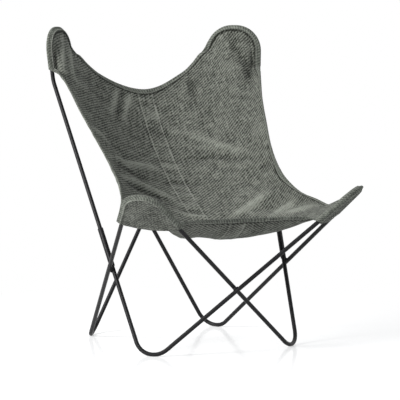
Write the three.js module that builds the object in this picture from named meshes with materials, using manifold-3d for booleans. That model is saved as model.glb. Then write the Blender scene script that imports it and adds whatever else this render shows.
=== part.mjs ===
// Butterfly sling chair: two lapped rods bent into a welded base, two ear arches plugged into
// sockets on it, and a canvas sling hung by four corner pockets.
// Millimetres, +Z up, the sitter faces -Y, left and right are the viewer's from the front.
import * as THREE from 'three';
import Module from 'manifold-3d';

const wasm = await Module();
wasm.setup();

// Frame. The bends are rounded, so the three frame sizes run between the corners where the
// straight legs would meet if they were carried on.
const FRAME_WIDTH = 750;
const FRAME_DEPTH = 497;
const FRAME_HEIGHT = 1034;
const ROD_DIAMETER = 12;
const FOOT_BEND = 56;
const PEAK_BEND = 50;
const EAR_BEND = 67;
const KINK_BEND = 60;
const FOOT_FLAT = 0.8;

// Sockets that hold the ear arches, and the weld at each lap of two rods.
const SOCKET_LENGTH = 120;
const SOCKET_WALL = 1.7;
const SOCKET_CHAMFER = 0.5;
const SIDE_SOCKET_START = 8;
const BACK_SOCKET_START = 15;
const PLUG_DEPTH = 46;
const PLUG_GAP = 4;
const WELD_REACH = 10;
const WELD_HEIGHT = 6;

// Canvas.
const CLOTH_THICKNESS = 1.6;
const TAPE_THICKNESS = 1.1;
const TAPE_WIDTH = 14;
const SEAM_OVERHANG = 14;
const STRIP_WIDTH = 50;

// Free space between pieces that touch.
const CLEARANCE = 0.3;
const TAPE_EASE = 0.45;

// Corners of the frame as shares of half the width, the depth and the height.
const FRONT_FOOT_SHARES = [0.664, -0.5, 0];
const BACK_FOOT_SHARES = [0.559, 0.5, 0];
const PEAK_SHARES = [1, -0.943, 0.5316];
const EAR_SHARES = [0.9493, 0.684, 1];
const EAR_CENTRE_SHARES = [0.7547, 0.5157, 0.8403];
const KINK_SHARE = 0.767;
const EAR_TURN_DEGREES = 42.6;
const EAR_LEAN_DEGREES = 10.3;
// Where the pocket hems cross the legs, as shares of a leg's straight run.
const PEAK_HEM_SHARES = [0.235, 0.255];
const EAR_HEM_SHARES = [0.42, 0.9];

// Free edges of the canvas between the pockets, x, y and z in the same shares; heights here are
// above the floor.
const SIDE_EDGE_SHARES = [
  [0.859, 0.314, 0.7495], [0.797, 0.189, 0.6692], [0.757, 0.08, 0.6093], [0.717, -0.032, 0.5503],
  [0.696, -0.157, 0.4952], [0.704, -0.258, 0.4584], [0.757, -0.368, 0.4255],
  [0.824, -0.467, 0.4091],
];
const TOP_EDGE_SHARES = [
  [0.531, 0.642, 0.8027], [0.435, 0.628, 0.766], [0.285, 0.622, 0.7321], [0.133, 0.596, 0.7089],
  [0, 0.577, 0.7012],
];
const FRONT_EDGE_SHARES = [
  [0.5, -0.791, 0.3762], [0.4, -0.769, 0.3772], [0.267, -0.738, 0.3762],
  [0.133, -0.714, 0.3755], [0, -0.706, 0.3752],
];

// Slack of the canvas: how far a sitter's weight has stretched it down and back, as shares of
// the height and the depth.
const SAG_DOWN_SHARES = [0.598, 1.207, 2.635];
const SAG_BACK_SHARES = [-0.127, -1.747];
const SAG_REFERENCE_SHARE = 0.805;

// Folds that fan out of the corners: place along the outline, half width, start and end along
// the ray from the seat, height as a share of the frame height.
const FOLD_SHARES = [
  [0.03, 0.022, 0.4, 1, 0.004], [0.075, 0.02, 0.4, 1, -0.004], [0.115, 0.02, 0.4, 1, 0.004],
  [0.285, 0.022, 0.3, 1, -0.007], [0.325, 0.02, 0.3, 1, 0.008], [0.362, 0.018, 0.35, 1, -0.006],
  [0.4, 0.018, 0.35, 1, 0.004],
  [0.57, 0.018, 0.35, 1, 0.004], [0.606, 0.018, 0.35, 1, -0.005], [0.642, 0.02, 0.35, 1, 0.007],
  [0.68, 0.022, 0.3, 1, -0.004],
  [0.8, 0.02, 0.4, 1, 0.004], [0.84, 0.02, 0.4, 1, -0.003], [0.88, 0.022, 0.4, 1, 0.003],
];

// How finely things are divided.
const ROD_SIDES = 16;
const BEND_STEPS = 14;
const PEAK_STEPS = 9;
const CORNER_STEPS = 6;
const KINK_STEPS = 4;
const EDGE_STEPS = 12;
const HEM_TURN_SHARE = 0.025;
const FILM_RINGS = 8;
const FILM_SWEEPS = 700;
const SOCKET_SIDES = 28;
const SETTLE_ROUNDS = 12;

const rodRadius = ROD_DIAMETER / 2;
const lap = ROD_DIAMETER + CLEARANCE;
const boreRadius = rodRadius + CLEARANCE;
const socketRadius = boreRadius + SOCKET_WALL;
const up = new THREE.Vector3(0, 0, 1);

const vec = (x, y, z) => new THREE.Vector3(x, y, z);
const along = (from, to, distance) => from.clone().addScaledVector(heading(from, to), distance);
const heading = (from, to) => to.clone().sub(from).normalize();
const mirrored = (p) => vec(-p.x, p.y, p.z);
const inFrame = ([x, y, z]) => vec(x * FRAME_WIDTH / 2, y * FRAME_DEPTH, z * FRAME_HEIGHT);

// Frame corners.

// Gap between the legs a-b and c-d along their common normal, signed.
function legGap(a, b, c, d) {
  const normal = heading(a, b).cross(heading(c, d)).normalize();
  return { gap: c.clone().sub(a).dot(normal), normal };
}

// How far the leg c-d passes outside the leg a-b, on the side given by a sign.
function passesOutside(side, ...legs) {
  const { gap, normal } = legGap(...legs);
  return gap * Math.sign(normal.x) * side;
}

// Place on the leg a-b that is nearest to the leg c-d, as a distance from a.
function nearestAlong(a, b, c, d) {
  const u = heading(a, b);
  const w = heading(c, d);
  const gap = a.clone().sub(c);
  const uw = u.dot(w);
  return (uw * w.dot(gap) - u.dot(gap)) / (1 - uw * uw);
}

// Round a corner: points and directions along the bend.
function bend(before, corner, after, radius, steps) {
  const a = heading(corner, before);
  const b = heading(corner, after);
  const half = Math.acos(THREE.MathUtils.clamp(a.dot(b), -1, 1)) / 2;
  const start = corner.clone().addScaledVector(a, radius / Math.tan(half));
  const middle = corner.clone().addScaledVector(a.clone().add(b).normalize(), radius / Math.sin(half));
  const out = start.clone().sub(middle).normalize();
  const forward = a.clone().negate();
  const sweep = Math.PI - 2 * half;
  return Array.from({ length: steps + 1 }, (_, i) => {
    const angle = sweep * i / steps;
    const point = middle.clone().addScaledVector(out, radius * Math.cos(angle))
      .addScaledVector(forward, radius * Math.sin(angle));
    const direction = forward.clone().multiplyScalar(Math.cos(angle))
      .addScaledVector(out, -Math.sin(angle));
    return { point, direction };
  });
}

const lowest = (stations) => Math.min(...stations.map((s) => s.point.z));

// The corners of both rods. The left rod starts under the left ear, the right rod is its mirror
// image; they are stepped apart in y where their legs lap at the front and at the back.
function frameCorners({ frontStep, backStep, backFootX, feet }) {
  const foot = inFrame(FRONT_FOOT_SHARES);
  const peak = inFrame(PEAK_SHARES);
  const back = vec(backFootX, inFrame(BACK_FOOT_SHARES).y, 0);
  const ear = inFrame(EAR_SHARES);
  const rod = (side, [footRise, backRise]) => {
    const front = vec(0, side * frontStep, 0);
    const rear = vec(0, -side * backStep, 0);
    return {
      side,
      foot: (side < 0 ? mirrored(foot) : foot.clone()).add(front).addScaledVector(up, footRise),
      peak: (side < 0 ? peak.clone() : mirrored(peak)).add(front),
      back: (side < 0 ? back.clone() : mirrored(back)).add(rear).addScaledVector(up, backRise),
      ear: (side < 0 ? mirrored(ear) : ear.clone()).add(rear),
      peakStep: front,
      earStep: rear,
    };
  };
  return { left: rod(-1, feet.left), right: rod(1, feet.right) };
}

const sideLap = ({ left, right }) => Math.min(
  passesOutside(-1, left.foot, left.ear, right.back, right.peak),
  passesOutside(1, right.foot, right.ear, left.back, left.peak),
);
const frontLap = ({ left, right }) => (
  Math.abs(legGap(left.foot, left.peak, right.foot, right.peak).gap));
const backLap = ({ left, right }) => (
  Math.abs(legGap(left.back, left.ear, right.back, right.ear).gap));

// Lowest points of a rod's axis in its front and back foot bends.
const footDepths = (rod) => [
  lowest(bend(rod.ear, rod.foot, rod.peak, FOOT_BEND, BEND_STEPS * 8)),
  lowest(bend(rod.peak, rod.back, rod.ear, FOOT_BEND, BEND_STEPS * 8)),
];

// The steps, the spread of the back feet and the height of each foot are settled together, until
// all laps are one rod and a clearance apart and all four feet stand on one floor.
function settleCorners() {
  const choice = {
    frontStep: lap / 2, backStep: lap / 2, backFootX: inFrame(BACK_FOOT_SHARES).x,
    feet: { left: [0, 0], right: [0, 0] },
  };
  const lowX = choice.backFootX * 0.4;
  const highX = choice.backFootX * 1.8;
  for (let round = 0; round < SETTLE_ROUNDS; round += 1) {
    let [low, high] = [lowX, highX];
    while (high - low > CLEARANCE / 1e4) {
      choice.backFootX = (low + high) / 2;
      if (sideLap(frameCorners(choice)) > lap) high = choice.backFootX; else low = choice.backFootX;
    }
    const corners = frameCorners(choice);
    choice.frontStep *= lap / frontLap(corners);
    choice.backStep *= lap / backLap(corners);
    const floor = footDepths(corners.left)[0];
    for (const side of ['left', 'right']) {
      footDepths(corners[side]).forEach((depth, k) => { choice.feet[side][k] += floor - depth; });
    }
  }
  return frameCorners(choice);
}

const rods = settleCorners();
const footFloor = footDepths(rods.left)[0] - rodRadius + FOOT_FLAT;
for (const rod of [rods.left, rods.right]) {
  for (const key of ['foot', 'peak', 'back', 'ear']) rod[key].z -= footFloor;
}

// The bent top of one ear: kinks on both legs, then a round arch in a steeper plane.
function earCorners(rod) {
  const turn = THREE.MathUtils.degToRad(EAR_TURN_DEGREES);
  const lean = THREE.MathUtils.degToRad(EAR_LEAN_DEGREES);
  const across = vec(-Math.cos(turn), Math.sin(turn), 0);
  const rise = vec(Math.sin(turn) * Math.sin(lean), Math.cos(turn) * Math.sin(lean), Math.cos(lean));
  const middle = inFrame(EAR_CENTRE_SHARES).addScaledVector(up, -footFloor);
  const place = (sign) => {
    const p = middle.clone().addScaledVector(across, sign * EAR_BEND).addScaledVector(rise, EAR_BEND);
    return (rod.side < 0 ? mirrored(p) : p).add(rod.earStep);
  };
  const flip = (p) => (rod.side < 0 ? mirrored(p) : p);
  return {
    frontKink: rod.foot.clone().lerp(rod.ear, KINK_SHARE),
    frontTop: place(-1),
    backTop: place(1),
    backKink: rod.back.clone().lerp(rod.ear, KINK_SHARE),
    inward: flip(across.clone().cross(rise).normalize()),
  };
}

// Rods, sockets, welds.

// A path whose sections sit at chosen stations, close in the bends and none along the straights.
class StationPath extends THREE.Curve {
  constructor(stations) {
    super();
    this.stations = stations;
  }

  at(u, key) {
    const place = THREE.MathUtils.clamp(u, 0, 1) * (this.stations.length - 1);
    const i = Math.min(Math.floor(place + 1e-9), this.stations.length - 2);
    return this.stations[i][key].clone().lerp(this.stations[i + 1][key], place - i);
  }

  getPointAt(u, target = vec(0, 0, 0)) {
    return target.copy(this.at(u, 'point'));
  }

  getTangentAt(u, target = vec(0, 0, 0)) {
    return target.copy(this.at(u, 'direction')).normalize();
  }
}

function circleShape(radius, sides) {
  const points = Array.from({ length: sides }, (_, i) => {
    const angle = 2 * Math.PI * i / sides;
    return new THREE.Vector2(radius * Math.cos(angle), radius * Math.sin(angle));
  });
  return new THREE.Shape(points);
}

// Stations of a rod through its corners, each corner with a radius and a number of steps.
function rodStations(start, corners, end) {
  const points = [start, ...corners.map((c) => c.at), end];
  const stations = [{ point: start, direction: heading(start, points[1]) }];
  corners.forEach((c, i) => stations.push(...bend(points[i], c.at, points[i + 2], c.radius, c.steps)));
  stations.push({ point: end, direction: heading(points[points.length - 2], end) });
  return stations;
}

function rodGeometry(stations, radius) {
  return new THREE.ExtrudeGeometry(circleShape(radius, ROD_SIDES), {
    steps: stations.length - 1, bevelEnabled: false, extrudePath: new StationPath(stations),
  });
}

function weldVertices(geometry) {
  const position = geometry.getAttribute('position');
  const index = geometry.getIndex();
  const count = index ? index.count : position.count;
  const seen = new Map();
  const vertices = [];
  const triangles = [];
  for (let i = 0; i < count; i += 1) {
    const at = index ? index.getX(i) : i;
    const p = [position.getX(at), position.getY(at), position.getZ(at)];
    const key = p.map((value) => Math.round(value * 2e4)).join(' ');
    if (!seen.has(key)) {
      seen.set(key, vertices.length / 3);
      vertices.push(...p);
    }
    triangles.push(seen.get(key));
  }
  const kept = [];
  for (let i = 0; i < triangles.length; i += 3) {
    const [a, b, c] = triangles.slice(i, i + 3);
    if (a !== b && b !== c && a !== c) kept.push(a, b, c);
  }
  return { vertices, triangles: kept };
}

function toSolid(geometry) {
  const { vertices, triangles } = weldVertices(geometry);
  return new wasm.Manifold(new wasm.Mesh({
    numProp: 3, vertProperties: new Float32Array(vertices), triVerts: new Uint32Array(triangles),
  }));
}

function toGeometry(solid) {
  const mesh = solid.getMesh();
  const geometry = new THREE.BufferGeometry();
  const flat = [];
  for (let i = 0; i < mesh.vertProperties.length; i += mesh.numProp) {
    flat.push(mesh.vertProperties[i], mesh.vertProperties[i + 1], mesh.vertProperties[i + 2]);
  }
  geometry.setAttribute('position', new THREE.Float32BufferAttribute(flat, 3));
  geometry.setIndex(Array.from(mesh.triVerts));
  geometry.computeVertexNormals();
  return geometry;
}

// The biggest body of a cut, without the crumbs.
function mainBody(solid) {
  const bodies = solid.decompose();
  return bodies.sort((a, b) => b.volume() - a.volume())[0];
}

function boxSolid(low, high) {
  const size = high.clone().sub(low);
  const geometry = new THREE.BoxGeometry(size.x, size.y, size.z);
  const middle = low.clone().add(high).multiplyScalar(0.5);
  geometry.translate(middle.x, middle.y, middle.z);
  return toSolid(geometry);
}

// Where each leg of a rod is lapped by the other rod, and where its sockets sit.
function lapsOf(rod, other) {
  const side = nearestAlong(rod.foot, rod.ear, other.back, other.peak);
  const back = nearestAlong(rod.back, rod.ear, other.back, other.ear);
  return {
    sideSocket: along(rod.foot, rod.ear, side + SIDE_SOCKET_START),
    sideUp: heading(rod.foot, rod.ear),
    backSocket: along(rod.back, rod.ear, back + BACK_SOCKET_START),
    backUp: heading(rod.back, rod.ear),
  };
}

function baseRod(rod, laps) {
  const start = laps.sideSocket.clone().addScaledVector(laps.sideUp, PLUG_DEPTH);
  const end = laps.backSocket.clone().addScaledVector(laps.backUp, PLUG_DEPTH);
  const stations = rodStations(start, [
    { at: rod.foot, radius: FOOT_BEND, steps: BEND_STEPS },
    { at: rod.peak, radius: PEAK_BEND, steps: PEAK_STEPS },
    { at: rod.back, radius: FOOT_BEND, steps: BEND_STEPS },
  ], end);
  const reach = FRAME_WIDTH + FRAME_DEPTH;
  const underFloor = boxSolid(vec(-reach, -reach, -reach), vec(reach, reach, 0));
  return toGeometry(toSolid(rodGeometry(stations, rodRadius)).subtract(underFloor));
}

function earArch(rod, laps) {
  const top = earCorners(rod);
  const inside = PLUG_DEPTH + PLUG_GAP;
  return rodGeometry(rodStations(
    laps.sideSocket.clone().addScaledVector(laps.sideUp, inside),
    [
      { at: top.frontKink, radius: KINK_BEND, steps: KINK_STEPS },
      { at: top.frontTop, radius: EAR_BEND * 0.97, steps: CORNER_STEPS },
      { at: top.backTop, radius: EAR_BEND * 0.97, steps: CORNER_STEPS },
      { at: top.backKink, radius: KINK_BEND, steps: KINK_STEPS },
    ],
    laps.backSocket.clone().addScaledVector(laps.backUp, inside),
  ), rodRadius);
}

function socketGeometry() {
  const c = SOCKET_CHAMFER;
  const profile = [
    [boreRadius, 0], [socketRadius - c, 0], [socketRadius, c], [socketRadius, SOCKET_LENGTH - c],
    [socketRadius - c, SOCKET_LENGTH], [boreRadius, SOCKET_LENGTH], [boreRadius, 0],
  ].map(([x, y]) => new THREE.Vector2(x, y));
  const geometry = new THREE.LatheGeometry(profile, SOCKET_SIDES);
  geometry.rotateX(Math.PI / 2);
  return geometry;
}

// Fillet of weld metal round the spot where two legs lap, cut back to clear rods and sockets.
function weldAt(a, b, c, d, sockets) {
  const u = heading(a, b);
  const w = heading(c, d);
  const first = along(a, b, nearestAlong(a, b, c, d));
  const second = along(c, d, nearestAlong(c, d, a, b));
  const normal = second.clone().sub(first).normalize();
  const split = u.clone().add(w).normalize();
  const axes = new THREE.Matrix4().makeBasis(split, normal.clone().cross(split), normal);
  const bead = new THREE.SphereGeometry(1, 14, 9);
  bead.applyMatrix4(new THREE.Matrix4().makeScale(WELD_REACH, WELD_REACH, WELD_HEIGHT).premultiply(axes));
  const middle = first.clone().add(second).multiplyScalar(0.5);
  bead.translate(middle.x, middle.y, middle.z);
  let solid = toSolid(bead);
  for (const [centre, direction] of [[first, u], [second, w]]) {
    solid = solid.subtract(cylinderSolid(centre, direction, rodRadius + CLEARANCE, WELD_REACH * 2));
  }
  for (const socket of sockets) {
    const centre = socket.at.clone().addScaledVector(socket.up, SOCKET_LENGTH / 2 - CLEARANCE);
    solid = solid.subtract(cylinderSolid(centre, socket.up, socketRadius + CLEARANCE, SOCKET_LENGTH / 2));
  }
  return toGeometry(mainBody(solid));
}

function cylinderSolid(centre, direction, radius, halfLength) {
  const geometry = new THREE.CylinderGeometry(radius, radius, halfLength * 2, ROD_SIDES);
  geometry.applyQuaternion(new THREE.Quaternion().setFromUnitVectors(vec(0, 1, 0), direction));
  geometry.translate(centre.x, centre.y, centre.z);
  return toSolid(geometry);
}

// Outline of the canvas.

// Section of a pocket across its rod: distance outside the rod's axis and height above it, from
// the sewn rim inwards, for the canvas; the pocket's outer patch is the same below the rod.
function pocketSection(rise) {
  return [
    [SEAM_OVERHANG, CLOTH_THICKNESS / 2 + CLEARANCE / 2],
    [SEAM_OVERHANG - TAPE_WIDTH * 0.86, rise * 1.01],
    [SEAM_OVERHANG - TAPE_WIDTH * 1.86, rise * 1.07],
  ];
}
const clothRise = rodRadius + CLEARANCE + CLOTH_THICKNESS / 2;
const hemRise = clothRise + TAPE_THICKNESS + TAPE_EASE + CLEARANCE;

// The rod inside one pocket, as stations from the side edge of the sling to its other edge.
function pocketPath(stations, inward, tipHint) {
  const first = stations[0].point;
  const last = stations[stations.length - 1].point;
  const tip = stations[Math.floor(stations.length / 2)];
  const chord = first.clone().add(last).multiplyScalar(0.5);
  const sign = Math.sign(tip.direction.clone().cross(inward).dot(tipHint.clone().sub(chord)));
  return stations.map(({ point, direction }) => ({
    point,
    outward: direction.clone().cross(inward).normalize().multiplyScalar(sign),
    inward,
  }));
}

function peakPocket(rod) {
  const run = (to) => rod.peak.distanceTo(to);
  const tipBend = bend(rod.back, rod.peak, rod.foot, PEAK_BEND, PEAK_STEPS);
  const cut = rod.peak.distanceTo(tipBend[0].point);
  const legs = [rod.back, rod.foot].map((end, k) => [1, 0.5].map((part) => {
    const hem = run(end) * PEAK_HEM_SHARES[k];
    return { point: along(rod.peak, end, cut + (hem - cut) * part), direction: heading(rod.peak, end) };
  }));
  legs[0].forEach((s) => s.direction.negate());
  const stations = [...legs[0], ...tipBend, ...legs[1].reverse()];
  const normal = heading(rod.peak, rod.back).cross(heading(rod.peak, rod.foot)).normalize();
  if (normal.z < 0) normal.negate();
  return pocketPath(stations, normal, rod.peak);
}

function earPocket(rod) {
  const top = earCorners(rod);
  const frontBend = bend(top.frontKink, top.frontTop, top.backTop, EAR_BEND * 0.97, CORNER_STEPS);
  const backBend = bend(top.frontTop, top.backTop, top.backKink, EAR_BEND * 0.97, CORNER_STEPS);
  const hemFront = {
    point: top.frontKink.clone().lerp(frontBend[0].point, EAR_HEM_SHARES[0]),
    direction: frontBend[0].direction.clone(),
  };
  const lastBend = backBend[CORNER_STEPS];
  const hemBack = {
    point: top.backKink.clone().lerp(lastBend.point, EAR_HEM_SHARES[1]),
    direction: lastBend.direction.clone(),
  };
  const inward = top.inward.clone();
  if (inward.y > 0) inward.negate();
  const tip = top.frontTop.clone().add(top.backTop).multiplyScalar(0.5);
  const stations = [hemFront, ...frontBend, ...backBend.slice(1), hemBack];
  return pocketPath(stations, inward, tip.addScaledVector(up, EAR_BEND));
}

const pocketPoint = (station, [outside, height], face) => station.point.clone()
  .addScaledVector(station.outward, outside).addScaledVector(station.inward, height * face);

// Three rings of a pocket, from the sewn rim inwards; face 1 is the canvas, -1 the outer patch.
// At both hems the canvas lifts enough for the edge tape to run out over the rod.
function pocketRings(path, face) {
  const sections = path.map((_, i) => {
    const atHem = face > 0 && (i === 0 || i === path.length - 1);
    return pocketSection(atHem ? hemRise : clothRise);
  });
  return sections[0].map((_, ring) => path.map((p, i) => pocketPoint(p, sections[i][ring], face)));
}

// A free edge from one pocket to the next; the steps of the two rods carry it along.
function freeEdge(from, shares, to, side, steps) {
  const middle = shares.map((share, i) => {
    const p = inFrame(share);
    const step = steps[0].clone().lerp(steps[1], (i + 1) / (shares.length + 1));
    return (side < 0 ? mirrored(p) : p).add(step);
  });
  const curve = new THREE.CatmullRomCurve3([from, ...middle, to], false, 'centripetal');
  curve.arcLengthDivisions = 400;
  const places = [HEM_TURN_SHARE];
  for (let i = 1; i < EDGE_STEPS; i += 1) places.push(i / EDGE_STEPS);
  places.push(1 - HEM_TURN_SHARE);
  return places.map((place) => curve.getPointAt(place));
}

const bothHalves = (shares) => [
  ...shares, ...shares.slice(0, -1).reverse().map(([x, y, z]) => [-x, y, z]),
];

// Pockets counter-clockwise from above, each from the edge before it to the edge after it.
const pockets = {
  ear_left: earPocket(rods.left).reverse(),
  front_left: peakPocket(rods.right),
  front_right: peakPocket(rods.left).reverse(),
  ear_right: earPocket(rods.right),
};

// Outline counter-clockwise from above, starting at the back pocket on the left. Every ray knows
// its rim point and, in a pocket, the two points further in.
function outline() {
  const order = Object.entries(pockets).map(([name, path]) => (
    { name, path, rings: pocketRings(path, 1) }));
  const step = { rear: rods.left.earStep, front: rods.right.peakStep };
  const back = { rear: step.rear.clone().negate(), front: step.front.clone().negate() };
  const edges = [
    (from, to) => freeEdge(from, SIDE_EDGE_SHARES, to, -1, [step.rear, step.front]),
    (from, to) => freeEdge(from, bothHalves(FRONT_EDGE_SHARES), to, -1, [step.front, back.front]),
    (from, to) => freeEdge(from, [...SIDE_EDGE_SHARES].reverse(), to, 1, [back.front, back.rear]),
    (from, to) => freeEdge(from, bothHalves(TOP_EDGE_SHARES), to, 1, [back.rear, step.rear]),
  ];
  const rays = [];
  order.forEach(({ name, path, rings }, k) => {
    path.forEach((_, i) => rays.push({ pocket: name, place: i, rings: rings.map((ring) => ring[i]) }));
    const next = order[(k + 1) % order.length];
    const from = rings[0][path.length - 1];
    for (const rim of edges[k](from, next.rings[0][0])) rays.push({ rings: [rim] });
  });
  return rays;
}

// Hanging shape of the canvas.

const rays = outline();
const rimOf = (i) => rays[(i + rays.length) % rays.length].rings[0];

// Turn of each ray about the seat: half by length of rim, half even.
const rimLengths = rays.map((ray, i) => rimOf(i + 1).distanceTo(ray.rings[0]));
const rimTotal = rimLengths.reduce((sum, value) => sum + value, 0);
const turns = rimLengths.map((value) => Math.PI * (value / rimTotal + 1 / rays.length));

// Evenly stretched film over the rays with a given rim value and a load on every node.
function film(rim, load) {
  const count = rays.length;
  const step = 1 / FILM_RINGS;
  const grid = rays.map((_, i) => Array.from({ length: FILM_RINGS + 1 }, (__, j) => rim(i) * j * step));
  const before = (i) => (i + count - 1) % count;
  const after = (i) => (i + 1) % count;
  const links = rays.map((_, i) => Array.from({ length: FILM_RINGS }, (__, j) => {
    if (j === 0) return null;
    const r = j * step;
    const turn = (turns[i] + turns[before(i)]) / 2;
    const outer = (r + step / 2) * turn / step;
    const inner = (r - step / 2) * turn / step;
    const next = step / (r * turns[i]);
    const last = step / (r * turns[before(i)]);
    return { outer, inner, next, last, sum: outer + inner + next + last, area: r * turn * step };
  }));
  const hub = (1 / count) * grid.reduce((sum, ray) => sum + ray[FILM_RINGS], 0);
  let centre = hub;
  for (let sweep = 0; sweep < FILM_SWEEPS; sweep += 1) {
    for (let i = 0; i < count; i += 1) {
      for (let j = 1; j < FILM_RINGS; j += 1) {
        const link = links[i][j];
        const inside = j === 1 ? centre : grid[i][j - 1];
        const pull = link.outer * grid[i][j + 1] + link.inner * inside
          + link.next * grid[after(i)][j] + link.last * grid[before(i)][j] + load(i, j) * link.area;
        grid[i][j] += 1.75 * (pull / link.sum - grid[i][j]);
      }
    }
    const mean = grid.reduce((sum, ray) => sum + ray[1], 0) / count;
    centre = mean + load(0, 0) * step * step / 4;
  }
  grid.forEach((ray) => { ray[0] = centre; });
  return grid;
}

const innerRim = (i) => rays[i].rings[rays[i].rings.length - 1];
const nothing = () => 0;
const filmX = film((i) => innerRim(i).x, nothing);
const filmY = film((i) => innerRim(i).y, nothing);
const filmZ = film((i) => innerRim(i).z, nothing);
const backness = (i, j) => filmY[i][j] / (SAG_REFERENCE_SHARE * FRAME_DEPTH);
const evenSag = film(nothing, () => 1);
const backSag = film(nothing, backness);
const endSag = film(nothing, (i, j) => backness(i, j) ** 2);

// A fold swells and dies along its ray and to both sides of it.
function foldHeight(rayShare, ringShare) {
  return FOLD_SHARES.reduce((sum, [place, halfWidth, from, to, height]) => {
    const off = Math.abs(rayShare - place) / halfWidth;
    if (off >= 2 || ringShare <= from || ringShare >= to) return sum;
    const lengthwise = Math.sin(Math.PI * (ringShare - from) / (to - from));
    return sum + height * FRAME_HEIGHT * lengthwise * Math.cos(Math.PI * off / 4) ** 2;
  }, 0);
}

// Rings of the pocket hem that is nearest to a ray of a free edge.
function hemBeside(i) {
  const pocketFrom = (way) => {
    let k = i;
    while (!rays[(k + rays.length) % rays.length].pocket) k += way;
    return rays[(k + rays.length) % rays.length].rings;
  };
  const away = (rings) => rings[0].distanceTo(rays[i].rings[0]);
  return [pocketFrom(-1), pocketFrom(1)].sort((a, b) => away(a) - away(b))[0];
}

// Mid-surface: for each ray the points from the seat out to the rim. Beside a hem the inner
// points of a free edge lie as those of the pocket do.
function canvasGrid() {
  const grid = rays.map((ray, i) => {
    const points = [];
    for (let j = 0; j < FILM_RINGS; j += 1) {
      const down = SAG_DOWN_SHARES[0] * evenSag[i][j] + SAG_DOWN_SHARES[1] * backSag[i][j]
        + SAG_DOWN_SHARES[2] * endSag[i][j];
      const back = SAG_BACK_SHARES[0] * evenSag[i][j] + SAG_BACK_SHARES[1] * backSag[i][j];
      points.push(vec(
        filmX[i][j], filmY[i][j] + back * FRAME_DEPTH, filmZ[i][j] - down * FRAME_HEIGHT,
      ));
    }
    if (ray.pocket) points.push(...[...ray.rings].reverse());
    else {
      const rim = ray.rings[0];
      const last = points[points.length - 1];
      const reach = Math.min(TAPE_WIDTH, last.distanceTo(rim) / 3);
      const hem = hemBeside(i);
      const freed = THREE.MathUtils.smoothstep(rim.distanceTo(hem[0]), 0, TAPE_WIDTH * 3);
      for (const part of [2, 1]) {
        const asHem = rim.clone().add(hem[part]).sub(hem[0]);
        points.push(asHem.lerp(along(rim, last, reach * part), freed));
      }
      points.push(rim);
    }
    return points;
  });
  const normals = gridNormals(grid, true);
  let travelled = 0;
  return grid.map((points, i) => {
    const rayShare = travelled / (2 * Math.PI);
    travelled += turns[i];
    return points.map((p, j) => (j > 0 && j < FILM_RINGS
      ? p.clone().addScaledVector(normals[i][j], foldHeight(rayShare, j / FILM_RINGS)) : p));
  });
}

// Normals of a fan of rays; closed fans run right round the hub.
function gridNormals(grid, closed) {
  const count = grid.length;
  const normals = grid.map((ray) => ray.map(() => vec(0, 0, 0)));
  const add = (cells) => {
    const [a, b, c] = cells.map(([i, j]) => grid[i][j]);
    const n = b.clone().sub(a).cross(c.clone().sub(a));
    cells.forEach(([i, j]) => normals[i][j].add(n));
  };
  for (let i = 0; i < (closed ? count : count - 1); i += 1) {
    const k = (i + 1) % count;
    for (let j = 0; j < grid[i].length - 1; j += 1) {
      if (j > 0) add([[i, j], [i, j + 1], [k, j]]);
      add([[i, j + 1], [k, j + 1], [k, j]]);
    }
  }
  const hub = normals.reduce((sum, ray) => sum.add(ray[0]), vec(0, 0, 0)).normalize();
  normals.forEach((ray) => {
    ray[0].copy(hub);
    ray.forEach((n) => n.normalize());
  });
  return normals;
}

class Skin {
  constructor() {
    this.positions = [];
  }

  triangle(a, b, c) {
    for (const p of [a, b, c]) this.positions.push(p.x, p.y, p.z);
  }

  quad(a, b, c, d) {
    this.triangle(a, b, d);
    this.triangle(b, c, d);
  }

  // The same quad seen from behind, split along the same diagonal.
  backQuad(a, b, c, d) {
    this.triangle(a, d, b);
    this.triangle(b, d, c);
  }

  geometry() {
    const geometry = new THREE.BufferGeometry();
    geometry.setAttribute('position', new THREE.Float32BufferAttribute(this.positions, 3));
    const { vertices, triangles } = weldVertices(geometry);
    const joined = new THREE.BufferGeometry();
    joined.setAttribute('position', new THREE.Float32BufferAttribute(vertices, 3));
    joined.setIndex(triangles);
    joined.computeVertexNormals();
    return joined;
  }
}

// Both faces of a sheet of cloth from its middle surface.
function facesOf(grid, normals, thickness) {
  const shift = (side) => grid.map((ray, i) => ray.map((p, j) => (
    p.clone().addScaledVector(normals[i][j], side * thickness / 2))));
  return { top: shift(1), bottom: shift(-1) };
}

function sheetGeometry(grid, normals, thickness, closed) {
  const { top, bottom } = facesOf(grid, normals, thickness);
  const skin = new Skin();
  const count = grid.length;
  const rim = grid[0].length - 1;
  for (let i = 0; i < (closed ? count : count - 1); i += 1) {
    const k = (i + 1) % count;
    skin.triangle(top[i][0], top[i][1], top[k][1]);
    skin.triangle(bottom[i][0], bottom[k][1], bottom[i][1]);
    for (let j = 1; j < rim; j += 1) {
      skin.quad(top[i][j], top[i][j + 1], top[k][j + 1], top[k][j]);
      skin.backQuad(bottom[i][j], bottom[i][j + 1], bottom[k][j + 1], bottom[k][j]);
    }
    skin.quad(top[i][rim], bottom[i][rim], bottom[k][rim], top[k][rim]);
  }
  if (!closed) {
    for (let j = 0; j < rim; j += 1) {
      skin.quad(top[0][j], bottom[0][j], bottom[0][j + 1], top[0][j + 1]);
      const last = count - 1;
      skin.quad(top[last][j + 1], bottom[last][j + 1], bottom[last][j], top[last][j]);
    }
  }
  return skin.geometry();
}

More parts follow.
